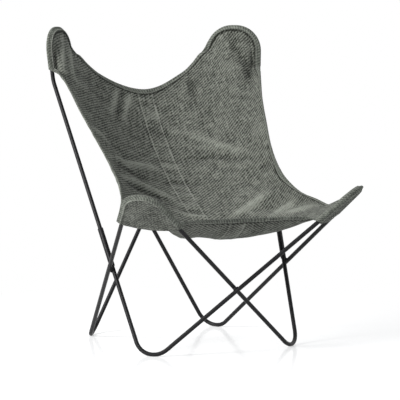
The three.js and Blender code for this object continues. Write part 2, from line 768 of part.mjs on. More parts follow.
// The outer patch of a pocket: a half fan from the middle of its hem to the sewn rim.
function patchGrid(path) {
  const rings = pocketRings(path, -1);
  const inner = rings[rings.length - 1];
  const hem = inner[0].clone().add(inner[inner.length - 1]).multiplyScalar(0.5);
  const tip = inner[Math.floor(inner.length / 2)];
  const hub = hem.addScaledVector(heading(tip, hem), TAPE_WIDTH * 0.4);
  return path.map((_, i) => [
    hub.clone(), hub.clone().lerp(inner[i], 0.5), ...[...rings].reverse().map((ring) => ring[i]),
  ]);
}

// Bindings.

const canvas = canvasGrid();
const canvasNormals = gridNormals(canvas, true);
const canvasFaces = facesOf(canvas, canvasNormals, CLOTH_THICKNESS);

const patches = Object.fromEntries(Object.entries(pockets).map(([name, path]) => {
  const grid = patchGrid(path);
  let normals = gridNormals(grid, false);
  const facing = normals[0][0].dot(path[0].inward);
  if (facing > 0) normals = normals.map((ray) => ray.map((n) => n.negate()));
  return [name, { path, grid, normals, flipped: facing > 0 }];
}));

// Two points of a tape section on one face, at the rim and inside it, with their normals.
function upperFace(i) {
  const rim = canvas[i].length - 1;
  return [rim, rim - 1].map((j) => ({ at: canvasFaces.top[i][j], normal: canvasNormals[i][j] }));
}

function lowerFace(i) {
  const rim = canvas[i].length - 1;
  return [rim, rim - 1].map((j) => (
    { at: canvasFaces.bottom[i][j], normal: canvasNormals[i][j].clone().negate() }));
}

function patchFace(i) {
  const { grid, normals } = patches[rays[i].pocket];
  const points = grid[rays[i].place];
  return [1, 2].map((back) => {
    const j = points.length - back;
    const normal = normals[rays[i].place][j];
    return { at: points[j].clone().addScaledVector(normal, CLOTH_THICKNESS / 2), normal };
  });
}

// Folded tape over the rim: eight corners of its section on one ray. Every corner keeps how
// many steps it lies inside the rim.
function tapeSection(i, lower) {
  const rim = canvas[i].length - 1;
  const out = heading(canvas[i][rim - 1], canvas[i][rim]);
  const shift = (face, height) => face.map(({ at, normal }, step) => ({
    step, at: at.clone().addScaledVector(normal, height).addScaledVector(out, step === 0 ? height : 0),
  }));
  const outer = TAPE_EASE + TAPE_THICKNESS;
  return [
    ...shift(upperFace(i), outer).reverse(), ...shift(lower, outer),
    ...shift(lower, TAPE_EASE).reverse(), ...shift(upperFace(i), TAPE_EASE),
  ];
}

// A length of tape over the rays from one to another, round a pocket or along a free edge.
function tapeGeometry(from, to, lowerOf) {
  const sections = [];
  for (let i = from; i <= to; i += 1) {
    const ray = i % rays.length;
    sections.push(tapeSection(ray, lowerOf(ray)));
  }
  const end = sections.length - 1;
  const trim = (section, toward) => section.map((corner, k) => (
    { step: corner.step, at: along(corner.at, toward[k].at, CLEARANCE / 2) }));
  sections[0] = trim(sections[0], sections[1]);
  sections[end] = trim(sections[end], sections[end - 1]);
  const skin = new Skin();
  const corners = sections[0].length;
  for (let s = 0; s < end; s += 1) {
    for (let k = 0; k < corners; k += 1) {
      const n = (k + 1) % corners;
      const [a, b, c, d] = [sections[s][k], sections[s][n], sections[s + 1][n], sections[s + 1][k]];
      const turned = b.step > a.step || (b.step === a.step && k >= corners / 2);
      if (turned) skin.quad(b.at, c.at, d.at, a.at);
      else skin.quad(a.at, b.at, c.at, d.at);
    }
  }
  const half = corners / 2;
  for (const [section, first] of [[sections[0], true], [sections[end], false]]) {
    for (let k = 0; k < half - 1; k += 1) {
      const cell = [section[k], section[k + 1], section[corners - 2 - k], section[corners - 1 - k]]
        .map((corner) => corner.at);
      if (first) cell.reverse();
      skin.quad(...cell);
    }
  }
  return skin.geometry();
}

// Assembly.

const steel = { color: 0x2a2a2c, metalness: 0.6, roughness: 0.45 };
const weldMetal = { color: 0x323234, metalness: 0.6, roughness: 0.55 };
const canvasLook = { color: 0x767b70, metalness: 0, roughness: 0.95 };
const tapeLook = { color: 0x6a6f66, metalness: 0, roughness: 0.95 };

const group = new THREE.Group();
group.name = 'butterfly_sling_chair';

// Put a piece in the assembly with its own origin at the middle of its underside.
function add(name, geometry, look) {
  geometry.computeBoundingBox();
  const box = geometry.boundingBox;
  const origin = vec((box.min.x + box.max.x) / 2, (box.min.y + box.max.y) / 2, box.min.z);
  geometry.translate(-origin.x, -origin.y, -origin.z);
  const mesh = new THREE.Mesh(geometry, new THREE.MeshStandardMaterial(look));
  mesh.name = name;
  mesh.position.copy(origin);
  group.add(mesh);
}

const laps = { left: lapsOf(rods.left, rods.right), right: lapsOf(rods.right, rods.left) };
const sockets = {};
for (const side of ['left', 'right']) {
  add(`base_rod_${side}`, baseRod(rods[side], laps[side]), steel);
  add(`ear_arch_${side}`, earArch(rods[side], laps[side]), steel);
  sockets[`side_socket_${side}`] = { at: laps[side].sideSocket, up: laps[side].sideUp };
  sockets[`back_socket_${side}`] = { at: laps[side].backSocket, up: laps[side].backUp };
}
for (const [name, socket] of Object.entries(sockets)) {
  const geometry = socketGeometry();
  geometry.applyQuaternion(new THREE.Quaternion().setFromUnitVectors(up, socket.up));
  geometry.translate(socket.at.x, socket.at.y, socket.at.z);
  add(name, geometry, steel);
}

const { left, right } = rods;
const allSockets = Object.values(sockets);
add('front_weld', weldAt(left.foot, left.peak, right.foot, right.peak, allSockets), weldMetal);
add('back_weld', weldAt(left.back, left.ear, right.back, right.ear, allSockets), weldMetal);
add('side_weld_left', weldAt(left.foot, left.ear, right.back, right.peak, allSockets), weldMetal);
add('side_weld_right', weldAt(right.foot, right.ear, left.back, left.peak, allSockets), weldMetal);

const wide = FRAME_WIDTH + FRAME_DEPTH + FRAME_HEIGHT;
const stripHalf = STRIP_WIDTH / 2;
const slab = (low, high) => boxSolid(vec(low, -wide, -wide), vec(high, wide, wide));
const sheet = toSolid(sheetGeometry(canvas, canvasNormals, CLOTH_THICKNESS, true));
add('sling_panel_left', toGeometry(sheet.intersect(slab(-wide, -stripHalf - CLEARANCE))), canvasLook);
add('sling_panel_right', toGeometry(sheet.intersect(slab(stripHalf + CLEARANCE, wide))), canvasLook);
add('centre_seam_strip', toGeometry(sheet.intersect(slab(-stripHalf, stripHalf))), canvasLook);

for (const [name, patch] of Object.entries(patches)) {
  const geometry = sheetGeometry(patch.grid, patch.normals, CLOTH_THICKNESS, false);
  if (toSolid(geometry).volume() < 0) geometry.index.array.reverse();
  add(`pocket_${name}`, geometry, canvasLook);
}

// The tapes are trimmed where a sharp turn at a hem would press the canvas into them.
const room = toSolid(sheetGeometry(canvas, canvasNormals, CLOTH_THICKNESS + CLEARANCE, true)).add(sheet);
const trimmed = (geometry) => (
  toGeometry(mainBody(toSolid(geometry).subtract(room)).simplify(CLEARANCE / 10)));

// Tape round each pocket, and along the free edge that follows it.
const edgeNames = ['left', 'front', 'right', 'top'];
Object.keys(pockets).forEach((name, k, names) => {
  const first = rays.findIndex((ray) => ray.pocket === name);
  const last = first + pockets[name].length - 1;
  const next = rays.findIndex((ray) => ray.pocket === names[(k + 1) % names.length]);
  add(`pocket_tape_${name}`, trimmed(tapeGeometry(first, last, patchFace)), tapeLook);
  const until = next > last ? next : next + rays.length;
  add(`edge_tape_${edgeNames[k]}`, trimmed(tapeGeometry(last, until, lowerFace)), tapeLook);
});

// The origin is on the floor under the middle of the whole chair.
const whole = new THREE.Box3().setFromObject(group);
for (const mesh of group.children) {
  mesh.position.x -= (whole.min.x + whole.max.x) / 2;
  mesh.position.y -= (whole.min.y + whole.max.y) / 2;
}

export default group;
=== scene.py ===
"""Butterfly sling chair: bent rod frame and a washed canvas sling hung by four corner pockets."""

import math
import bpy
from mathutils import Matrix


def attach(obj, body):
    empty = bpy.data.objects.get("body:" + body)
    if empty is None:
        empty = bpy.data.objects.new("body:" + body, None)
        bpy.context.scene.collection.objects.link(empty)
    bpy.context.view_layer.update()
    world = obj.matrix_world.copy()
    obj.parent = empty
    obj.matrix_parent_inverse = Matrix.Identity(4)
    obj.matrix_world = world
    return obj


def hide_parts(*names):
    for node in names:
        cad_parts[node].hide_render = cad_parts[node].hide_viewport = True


bl_info = {
    "name": "Butterfly sling chair",
    "version": (1, 0, 0),
    "blender": (4, 5, 0),
    "location": "View3D > Sidebar > Sling chair",
    "description": "Lapped rod frame with a canvas sling hung by four corner pockets",
    "category": "Add Mesh",
}

import bmesh
import bpy
import numpy as np
from bpy.props import FloatProperty, FloatVectorProperty, IntProperty, PointerProperty
from mathutils import Vector

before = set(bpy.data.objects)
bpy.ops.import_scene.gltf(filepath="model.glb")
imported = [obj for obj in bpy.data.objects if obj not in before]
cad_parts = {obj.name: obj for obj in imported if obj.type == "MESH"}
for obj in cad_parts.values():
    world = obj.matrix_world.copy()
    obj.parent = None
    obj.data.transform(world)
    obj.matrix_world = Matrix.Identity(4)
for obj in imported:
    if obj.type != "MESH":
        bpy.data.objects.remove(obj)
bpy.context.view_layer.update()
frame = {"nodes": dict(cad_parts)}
BODY = "root"
MM = 0.001

# Corners of the frame and points of the canvas edges, as shares of half the width, the depth and
# the height.
FRONT_FOOT = (0.664, -0.5, 0)
BACK_FOOT_Y = 0.5
PEAK = (1, -0.943, 0.5316)
EAR = (0.9493, 0.684, 1)
EAR_CENTRE = (0.7547, 0.5157, 0.8403)
SIDE_EDGE = (
    (0.859, 0.314, 0.7495), (0.797, 0.189, 0.6692), (0.757, 0.08, 0.6093), (0.717, -0.032, 0.5503),
    (0.696, -0.157, 0.4952), (0.704, -0.258, 0.4584), (0.757, -0.368, 0.4255),
    (0.824, -0.467, 0.4091),
)
TOP_EDGE = (
    (0.531, 0.642, 0.8027), (0.435, 0.628, 0.766), (0.285, 0.622, 0.7321), (0.133, 0.596, 0.7089),
    (0, 0.577, 0.7012),
)
FRONT_EDGE = (
    (0.5, -0.791, 0.3762), (0.4, -0.769, 0.3772), (0.267, -0.738, 0.3762),
    (0.133, -0.714, 0.3755), (0, -0.706, 0.3752),
)

# Shares of a length: where a leg kinks below the ear, where the hems of the pockets lie on the
# legs of a peak and of an ear, and how much tighter the arches are bent than the ear's radius.
KINK_SHARE = 0.767
PEAK_HEMS = (0.235, 0.255)
EAR_HEMS = (0.42, 0.9)
ARCH_TIGHTNESS = 0.97

# Sag of the film as shares of the height and of the depth: under an even load, under one that
# grows to the back, and under its square. The reference is the share of the depth at which the
# load to the back is 1.
SAG_DOWN = (0.598, 1.207, 2.635)
SAG_BACK = (-0.127, -1.747)
SAG_REFERENCE = 0.805

# Broad folds that fan out of the corners: place round the edge, half width, start along the ray,
# height as a share of the frame height.
CORNER_FOLDS = (
    (0.03, 0.022, 0.4, 0.004), (0.075, 0.02, 0.4, -0.004), (0.115, 0.02, 0.4, 0.004),
    (0.285, 0.022, 0.3, -0.007), (0.325, 0.02, 0.3, 0.008), (0.362, 0.018, 0.35, -0.006),
    (0.4, 0.018, 0.35, 0.004), (0.57, 0.018, 0.35, 0.004), (0.606, 0.018, 0.35, -0.005),
    (0.642, 0.02, 0.35, 0.007), (0.68, 0.022, 0.3, -0.004), (0.8, 0.02, 0.4, 0.004),
    (0.84, 0.02, 0.4, -0.003), (0.88, 0.022, 0.4, 0.003),
)

# Creases of the used canvas: half width and height in millimetres, and the pixels of the
# photograph, across and down, through which they were traced. Their heights were set one
# by one, and the gain sets how deep all of them are.
CREASE_GAIN = 2.1
CREASES = (
    (13, 4.2, ((111, 158), (120, 161), (129, 164.4), (139, 167), (150, 168), (161, 171.4))),
    (11, -3.4, ((114.6, 162), (121, 167), (129, 172), (141, 177), (153, 181))),
    (12, 4.4, ((121.6, 177), (128, 180), (135, 182.6), (144, 187), (153, 191), (164.4, 196),
               (172, 200), (178, 204))),
    (10, -3.2, ((123.7, 180.5), (131, 185), (139, 189.6), (148, 193.5), (156.7, 197.4),
                (166, 202))),
    (9, -2.0, ((157, 184), (166, 183.5), (174, 183), (187, 184), (202, 185))),
    (9, 2.4, ((175.7, 212), (180.6, 213.3), (190.6, 216.1), (202.8, 218), (213.9, 218.3))),
    (13, 3.6, ((232.8, 216), (240, 212.3), (248, 208), (256.7, 202.8), (266, 196))),
    (12, 3.6, ((273.3, 216.5), (280, 211), (287, 206.5), (294.4, 201.7))),
    (13, 4.0, ((284, 214.2), (295, 211), (307.5, 207.5), (318, 205))),
    (13, 2.6, ((90, 128), (96, 133), (105, 141), (112, 149))),
    (10, 2.6, ((62, 33), (61.5, 45), (63, 60), (66, 72))),
    (10, 2.6, ((68, 45), (70, 60), (73, 75), (78, 85))),
    (10, 2.2, ((118, 85), (115, 100), (111, 117))),
    (9, -2.4, ((125, 89), (121, 104), (117, 121))),
    (9, 2.2, ((131, 92), (127, 108), (122, 125))),
    (11, -3.2, ((190, 75), (192, 90), (195, 100))),
    (12, 1.6, ((188, 133), (205, 140), (225, 147), (250, 152))),
    (12, -1.6, ((180, 160), (200, 158), (222, 157), (245, 160))),
    (13, -3.0, ((228, 36), (236, 50), (248, 70), (252, 85))),
)

EDGES = ("left", "front", "right", "top")


# Sizes and colours that a user may change.


def length(name, default, description, **more):
    return FloatProperty(name=name, default=default, description=description, unit="LENGTH",
                         precision=5, min=0, **more)


def colour(name, default, description):
    return FloatVectorProperty(name=name, default=default, description=description,
                               subtype="COLOR", size=3, min=0, max=1)


class FrameSizes(bpy.types.PropertyGroup):
    """Sizes of the rod frame"""
    width: length("Width", 0.750, "Between the corners of the two front peaks")
    depth: length("Depth", 0.497, "Between the corners of the front and back feet")
    height: length("Height", 1.034, "From the floor corners to the ear corners")
    rod: length("Rod", 0.012, "Diameter of the round rod")
    foot_bend: length("Foot bend", 0.056, "Radius of the bends that stand on the floor")
    peak_bend: length("Peak bend", 0.050, "Radius of the bends at the front corners")
    ear_bend: length("Ear bend", 0.067, "Radius of the round ear arches")
    kink_bend: length("Kink bend", 0.060, "Radius of the kinks below the ears")
    front_step: length("Front step", 0.0067109, "Each rod's step to its side of the front lap")
    back_step: length("Back step", 0.0062075, "Each rod's step to its side of the back lap")
    back_spread: length("Back spread", 0.2097646, "From the middle to the corner of a back foot")
    left_drops: FloatVectorProperty(
        name="Left foot corners", size=2, unit="LENGTH", default=(-0.0325919, -0.0316313),
        description="Heights of the front and back foot corners of the left rod")
    right_drops: FloatVectorProperty(
        name="Right foot corners", size=2, unit="LENGTH", default=(-0.0333111, -0.0328329),
        description="Heights of the front and back foot corners of the right rod")
    top_drop: length("Top drop", 0.0325919, "How far rounding the feet lowers the frame")
    ear_turn: FloatProperty(name="Ear turn", default=math.radians(42.6), subtype="ANGLE",
                            description="Turn of the ear arches about the upright")
    ear_lean: FloatProperty(name="Ear lean", default=math.radians(10.3), subtype="ANGLE",
                            description="Lean of the ear arches to the back")
    sleeve_length: length("Sleeve length", 0.120, "Length of the sleeves that hold the ear arches")
    sleeve_wall: length("Sleeve wall", 0.0017, "Wall of the sleeves")
    sleeve_edge: length("Sleeve edge", 0.0007, "Rounding at the ends of the sleeves")
    side_start: length("Side sleeve start", 0.008, "From the side lap to the sleeve above it")
    back_start: length("Back sleeve start", 0.015, "From the back lap to the sleeve above it")
    plug: length("Plug depth", 0.046, "How far a rod goes into its sleeve from below")
    plug_gap: length("Plug gap", 0.004, "Gap between the two rods inside a sleeve")
    weld_reach: length("Weld reach", 0.010, "Half the length of a weld bead")
    weld_height: length("Weld height", 0.0055, "Half the height of a weld bead")
    clearance: length("Clearance", 0.0003, "Free space between pieces that touch")
    centring: FloatVectorProperty(
        name="Centring", size=2, unit="LENGTH", default=(-0.00038797, 0.06407651),
        description="Shift that puts the middle of the chair on the origin")


class CanvasSizes(bpy.types.PropertyGroup):
    """Sizes of the sling and its sewing"""
    cloth: length("Cloth", 0.0016, "Thickness of the canvas")
    tape: length("Binding", 0.0011, "Thickness of the binding tape")
    tape_width: length("Binding width", 0.014, "Width of the binding on each face")
    tape_ease: length("Binding ease", 0.00045, "Air between binding and canvas")
    overhang: length("Overhang", 0.014, "From the rod's middle to the sewn rim of a pocket")
    band: length("Seam band", 0.050, "Width of the doubled band in the middle")
    pitch: length("Stitch pitch", 0.0042, "From one stitch to the next")
    stitch: length("Stitch length", 0.0031, "Length of a stitch")
    thread: length("Thread", 0.0013, "Thickness of the sewing thread")
    detail: IntProperty(name="Detail", default=4, min=1, max=8,
                        description="Steps between two stations of a pocket")


class Finishes(bpy.types.PropertyGroup):
    """Colours of the finishes"""
    canvas: colour("Canvas", (0.017, 0.019, 0.014), "Washed canvas between the slubs")
    canvas_light: colour("Faded canvas", (0.395, 0.412, 0.355), "Faded threads of the canvas")
    binding: colour("Binding", (0.085, 0.091, 0.077), "Binding tape")
    thread: colour("Thread", (0.52, 0.53, 0.47), "Sewing thread")
    steel: colour("Powder coat", (0.0075, 0.0075, 0.0083), "Powder-coated steel rod")
    bare: colour("Worn steel", (0.16, 0.155, 0.15), "Steel where the coat is worn off")


class SlingChair(bpy.types.PropertyGroup):
    """All sizes and colours of the chair"""
    frame: PointerProperty(type=FrameSizes, name="Frame", description="Sizes of the rod frame")
    canvas: PointerProperty(type=CanvasSizes, name="Canvas", description="Sizes of the sling")
    finish: PointerProperty(type=Finishes, name="Finishes", description="Colours")


def chair():
    return bpy.context.scene.sling_chair


# Points and paths.

# Steps round each bend of a rod, and points round the section of a rod and of a sleeve.
ROD_STEPS, ROD_SIDES, SLEEVE_SIDES = 22, 32, 40
# Directions that no rod and no sleeve runs along, from which the points round them are counted.
ROD_ASKEW, SLEEVE_ASKEW = (0.3, 0.9, 0.2), (0.2, 0.95, 0.1)


def vec(*values):
    return np.array(values, float)


def unit(v):
    v = np.asarray(v, float)
    return v / np.maximum(np.linalg.norm(v, axis=-1, keepdims=True), 1e-12)


def smoothstep(x, low, high):
    t = np.clip((np.asarray(x, float) - low) / (high - low), 0, 1)
    return t * t * (3 - 2 * t)


def mirrored(p):
    return p * vec(-1, 1, 1)


def in_frame(share):
    """A point from its shares of half the width, the depth and the height."""
    f = chair().frame
    return vec(share[0] * f.width / 2, share[1] * f.depth, share[2] * f.height)


def bend(before, corner, after, radius, steps):
    """Points and directions round a corner."""
    a, b = unit(before - corner), unit(after - corner)
    half = math.acos(np.clip(a @ b, -1, 1)) / 2
    start = corner + a * radius / math.tan(half)
    middle = corner + unit(a + b) * radius / math.sin(half)
    out = unit(start - middle)
    turn = np.linspace(0, math.pi - 2 * half, steps + 1)[:, None]
    points = middle + radius * (np.cos(turn) * out - np.sin(turn) * a)
    return points, -np.cos(turn) * a - np.sin(turn) * out


def straight(start, end, steps):
    """Points along a straight line, with both ends."""
    part = np.linspace(0, 1, steps + 1)[:, None]
    return start + (end - start) * part


def lengths_of(points):
    """Distance along a line of points, for each of them."""
    return np.concatenate([[0], np.cumsum(np.linalg.norm(np.diff(points, axis=0), axis=1))])


def resample(values, places, wanted):
    """Rows of values, known at places, read at the wanted places."""
    return np.stack([np.interp(wanted, places, column) for column in values.T], axis=1)


def rod_corners(side):
    """Corners of one lower rod with its ear: it stands on one side in front, crosses over to
    the peak and to the back foot of the other side, and leans back to the ear of its own."""
    f = chair().frame
    front, rear = vec(0, side * f.front_step, 0), vec(0, -side * f.back_step, 0)
    drops = f.left_drops if side < 0 else f.right_drops
    top = vec(0, 0, -f.top_drop)
    flip = mirrored if side < 0 else np.copy
    other = np.copy if side < 0 else mirrored
    return {
        "side": side,
        "foot": flip(in_frame(FRONT_FOOT)) + front + vec(0, 0, drops[0]),
        "peak": other(in_frame(PEAK)) + front + top,
        "back": other(vec(f.back_spread, BACK_FOOT_Y * f.depth, drops[1])) + rear,
        "ear": flip(in_frame(EAR)) + rear + top,
        "peak_step": front,
        "ear_step": rear,
    }


def ear_corners(rod):
    """Corners of an ear arch: its kinks, and the two corners of its top."""
    f = chair().frame
    across = vec(-math.cos(f.ear_turn), math.sin(f.ear_turn), 0)
    lean_back = math.sin(f.ear_lean)
    rise = vec(math.sin(f.ear_turn) * lean_back, math.cos(f.ear_turn) * lean_back,
               math.cos(f.ear_lean))
    middle = in_frame(EAR_CENTRE) - vec(0, 0, f.top_drop)
    flip = mirrored if rod["side"] < 0 else np.copy
    place = {sign: flip(middle + (across * sign + rise) * f.ear_bend) + rod["ear_step"]
             for sign in (-1, 1)}
    return {
        "front_kink": rod["foot"] + (rod["ear"] - rod["foot"]) * KINK_SHARE,
        "front_top": place[-1],
        "back_top": place[1],
        "back_kink": rod["back"] + (rod["ear"] - rod["back"]) * KINK_SHARE,
        "inward": flip(unit(np.cross(across, rise))),
    }


def nearest_along(a, b, c, d):
    """Place on the leg a-b that is nearest to the leg c-d, as a distance from a."""
    u, w, gap = unit(b - a), unit(d - c), a - c
    uw = u @ w
    return (uw * (w @ gap) - u @ gap) / (1 - uw * uw)


def leg_point(a, b, distance):
    return a + unit(b - a) * distance


def laps_of(rod, other):
    """Where the two sleeves of a rod start, just above its laps with the other rod."""
    f = chair().frame
    side = nearest_along(rod["foot"], rod["ear"], other["back"], other["peak"])
    back = nearest_along(rod["back"], rod["ear"], other["back"], other["ear"])
    return {
        "side": leg_point(rod["foot"], rod["ear"], side + f.side_start),
        "side_up": unit(rod["ear"] - rod["foot"]),
        "back": leg_point(rod["back"], rod["ear"], back + f.back_start),
        "back_up": unit(rod["ear"] - rod["back"]),
    }


def through(start, corners, end, steps):
    """Path from start to end round corners, each with its radius."""
    points = [start, *(at for at, _ in corners), end]
    path = [start[None]]
    for i, (at, radius) in enumerate(corners):
        path.append(bend(points[i], at, points[i + 2], radius, steps)[0])
    path.append(end[None])
    return np.concatenate(path)


def base_path(rod, laps):
    """Middle line of a lower rod, from inside one sleeve to inside the other."""
    f = chair().frame
    return through(
        laps["side"] + laps["side_up"] * f.plug,
        [(rod["foot"], f.foot_bend), (rod["peak"], f.peak_bend), (rod["back"], f.foot_bend)],
        laps["back"] + laps["back_up"] * f.plug, ROD_STEPS)


def arch_path(rod, laps):
    """Middle line of an ear arch, which ends above the lower rod in each sleeve."""
    f = chair().frame
    top = ear_corners(rod)
    inside = f.plug + f.plug_gap
    arch = f.ear_bend * ARCH_TIGHTNESS
    return through(
        laps["side"] + laps["side_up"] * inside,
        [(top["front_kink"], f.kink_bend), (top["front_top"], arch), (top["back_top"], arch),
         (top["back_kink"], f.kink_bend)],
        laps["back"] + laps["back_up"] * inside, ROD_STEPS)


def centred(points):
    """Points moved so that the middle of the chair is the origin."""
    shift = chair().frame.centring
    return points + vec(shift[0], shift[1], 0)


# Meshes.


def new_piece(name, points, faces, material, attributes=None, sharp=None):
    """A mesh piece on the chair's body, with its finish."""
    mesh = bpy.data.meshes.new(name)
    mesh.from_pydata(np.asarray(points).tolist(), [], [list(map(int, face)) for face in faces])
    for key, values in (attributes or {}).items():
        kind = "FLOAT" if values.ndim == 1 else "FLOAT_VECTOR"
        layer = mesh.attributes.new(key, kind, "POINT")
        layer.data.foreach_set("value" if values.ndim == 1 else "vector",
                               values.astype(np.float32).ravel())
    mesh.validate()
    mesh.shade_smooth()
    if sharp is not None:
        mesh.set_sharp_from_angle(angle=math.radians(sharp))
    piece = bpy.data.objects.new(name, mesh)
    bpy.context.collection.objects.link(piece)
    piece.data.materials.append(material)
    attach(piece, BODY)
    return piece


def tangents_of(path):
    """Direction of a path at each of its points."""
    steps = unit(np.diff(path, axis=0))
    ends = np.concatenate([steps[:1], steps, steps[-1:]])
    return unit(ends[:-1] + ends[1:])


def tube_faces(rings, sides, closed=False, inward=False):
    """Quads between rings of points. An open tube ends in a flat face on either side."""
    k, faces = np.arange(sides), []
    for i in range(rings if closed else rings - 1):
        a, b = i * sides, (i + 1) % rings * sides
        quad = [a + k, a + (k + 1) % sides, b + (k + 1) % sides, b + k]
        faces += np.stack(quad[:1] + quad[:0:-1] if inward else quad, axis=1).tolist()
    ends = [] if closed else [k[::-1], (rings - 1) * sides + k]
    return faces + [list(end[::-1] if inward else end) for end in ends]


def sweep(path, radius, sides):
    """A round tube along a path, closed at both ends."""
    tangents = tangents_of(path)
    normal = np.cross(tangents[0], ROD_ASKEW)
    turn = np.linspace(0, 2 * math.pi, sides, endpoint=False)[:, None]
    rings = []
    for point, tangent in zip(path, tangents):
        normal = unit(normal - (normal @ tangent) * tangent)
        side = np.cross(tangent, normal)
        rings.append(point + radius * (np.cos(turn) * normal + np.sin(turn) * side))
    return np.concatenate(rings), tube_faces(len(path), sides)


def lathe(profile, start, axis, sides):
    """A closed ring turned about an axis from (radius, height) pairs."""
    side = unit(np.cross(axis, SLEEVE_ASKEW))
    other = np.cross(axis, side)
    turn = np.linspace(0, 2 * math.pi, sides, endpoint=False)
    around = np.cos(turn)[:, None] * side + np.sin(turn)[:, None] * other
    rings = [start + axis * height + around * radius for radius, height in profile]
    return np.concatenate(rings), tube_faces(len(profile), sides, closed=True)


# Finishes, all from nodes.

# The part of its range that a noise keeps to, and a range about nought.
NOISE_SPAN, CENTRED = (0.3, 0.7), (-0.5, 0.5)

# Woven cloth: scale, detail and roughness of its noises, and how the slubs are stretched along
# the warp and along the weft.
SLUBS, CLOUDS, SPECKS = (1.0, 3.0, 0.75), (9.0, 4.0, 0.6), (330.0, 3.0, 0.75)
ALONG_WARP, ALONG_WEFT = (240, 26, 1), (22, 260, 1)
# Ribs of the twill: their slant, how far clouds push them aside, and their pitch, in metres.
TWILL_SLANT, TWILL_WAVER, TWILL_PITCH = 0.6, 0.006, 0.0089
# Yarns in one cell of the basket weave, and the tone of cloth that nothing has changed.
YARNS, EVEN_TONE = 4, 0.41
# What each part adds to the tone, for slubs and twill as shares of the contrast.
SLUB_TONE, TWILL_TONE, CLOUD_TONE, SPECK_TONE, YARN_TONE = 1.7, 0.66, 0.14, 0.5, 0.06
# What each part adds to the relief, how strong and high that is in metres, and how rough it is.
RIDGE_RELIEF, BASKET_RELIEF, YARN_RELIEF, SLUB_RELIEF, SPECK_RELIEF = 0.9, 0.5, 0.18, 0.35, 0.25
CLOTH_BUMP, CLOTH_ROUGH = {"Strength": 0.8, "Distance": 0.0010}, (0.86, 0.98)

# Thread: scale and detail of its grain and of its change in tone, the dark tone as a share of the
# light one, and how high and rough the grain is.
THREAD_GRAIN, THREAD_TONES, THREAD_DARK = (1400.0, 2.0), (60.0, 3.0), 0.72
THREAD_BUMP, THREAD_ROUGH = {"Strength": 0.5, "Distance": 0.0002}, (0.6, 0.8)

# Powder coat: scale, detail and roughness of its noises, the steep part of the dust's range, how
# much lighter dust is, and how high and rough the coat is.
PEEL, DUST, SCRATCHED = (900.0, 2.0), (140.0, 4.0, 0.65), (1.0, 3.0, 0.7)
DUST_STEEP, DUST_LIGHTER = (0.35, 0.65), 1.7
COAT_BUMP, COAT_ROUGH = {"Strength": 0.35, "Distance": 0.0003}, (0.34, 0.5)
# Heights between which the rubbing of a foot ends, how far dust makes them waver, in metres, and
# how bare it is. Scratches run level: they are where a noise squeezed along the upright is high.
FOOT_RUBBED, FOOT_WAVER, FOOT_BARE = (0.0008, 0.0025), 0.0035, 0.85
SCRATCH_SCALES, SCRATCH_SPAN, SCRATCH_BARE = (90, 90, 900), (0.70, 0.78), 0.35

# Weave of canvas and of binding in metres, contrast of their threads, how much lighter the
# binding's light threads are, and lumps of the coat on rods and on welds.
CANVAS_WEAVE, BINDING_WEAVE = {"cell": 0.0022, "contrast": 0.45}, {"cell": 0.0017, "contrast": 0.6}
BINDING_LIGHTER, ROD_LUMPS, WELD_LUMPS = 3.8, 0.6, 2.5


class Nodes:
    """Short calls for building the nodes of one material or world."""

    def __init__(self, owner):
        self.owner = owner
        owner.use_nodes = True
        self.tree = owner.node_tree
        self.tree.nodes.clear()

    def add(self, kind, inputs=None, **settings):
        node = self.tree.nodes.new("ShaderNode" + kind)
        for key, value in settings.items():
            setattr(node, key, value)
        for key, value in (inputs or {}).items():
            if isinstance(value, bpy.types.NodeSocket):
                self.tree.links.new(value, node.inputs[key])
            else:
                node.inputs[key].default_value = value
        return node

    def math(self, operation, *values, clamp=False):
        node = self.add("Math", dict(enumerate(values)), operation=operation, use_clamp=clamp)
        return node.outputs[0]

    def summed(self, start, *terms):
        """The start plus each value times its factor."""
        for value, factor in terms:
            start = self.math("MULTIPLY_ADD", value, factor, start)
        return start

    def noise(self, vector, scale, detail=3.0, roughness=0.5):
        node = self.add("TexNoise", {"Vector": vector, "Scale": scale, "Detail": detail,
                                     "Roughness": roughness})
        return node.outputs["Fac"]

    def stretched(self, vector, scales):
        return self.add("Mapping", {"Vector": vector, "Scale": scales}).outputs[0]

    def remap(self, value, low, high, out_low=0.0, out_high=1.0):
        return self.add("MapRange", {"Value": value, "From Min": low, "From Max": high,
                                     "To Min": out_low, "To Max": out_high}).outputs[0]

    def spread(self, noise, low=0.0, high=1.0):
        """A noise, which keeps to the middle of its range, spread from low to high."""
        return self.remap(noise, *NOISE_SPAN, low, high)

    def mix(self, fac, first, second):
        node = self.add("Mix", {"Factor": fac}, data_type="RGBA")
        for socket, value in ((node.inputs[6], first), (node.inputs[7], second)):
            if isinstance(value, bpy.types.NodeSocket):
                self.tree.links.new(value, socket)
            else:
                socket.default_value = (*value[:3], 1)
        return node.outputs[2]

    def blend(self, fac, first, second):
        """The surface of one shader node or of another."""
        return self.add("MixShader", {0: fac, 1: first.outputs[0], 2: second.outputs[0]})

    def seen(self):
        """1 for a ray that comes from the camera, from a mirror or through glass."""
        path = self.add("LightPath")
        rays = [path.outputs[f"Is {kind} Ray"] for kind in ("Camera", "Glossy", "Transmission")]
        return self.math("MAXIMUM", self.math("MAXIMUM", *rays[:2]), rays[2])

    def finish(self, shader, kind="OutputMaterial"):
        self.add(kind, {"Surface": shader.outputs[0]})
        return self.owner


def times(colour, factor):
    """A colour made lighter or darker."""
    return tuple(part * factor for part in colour)


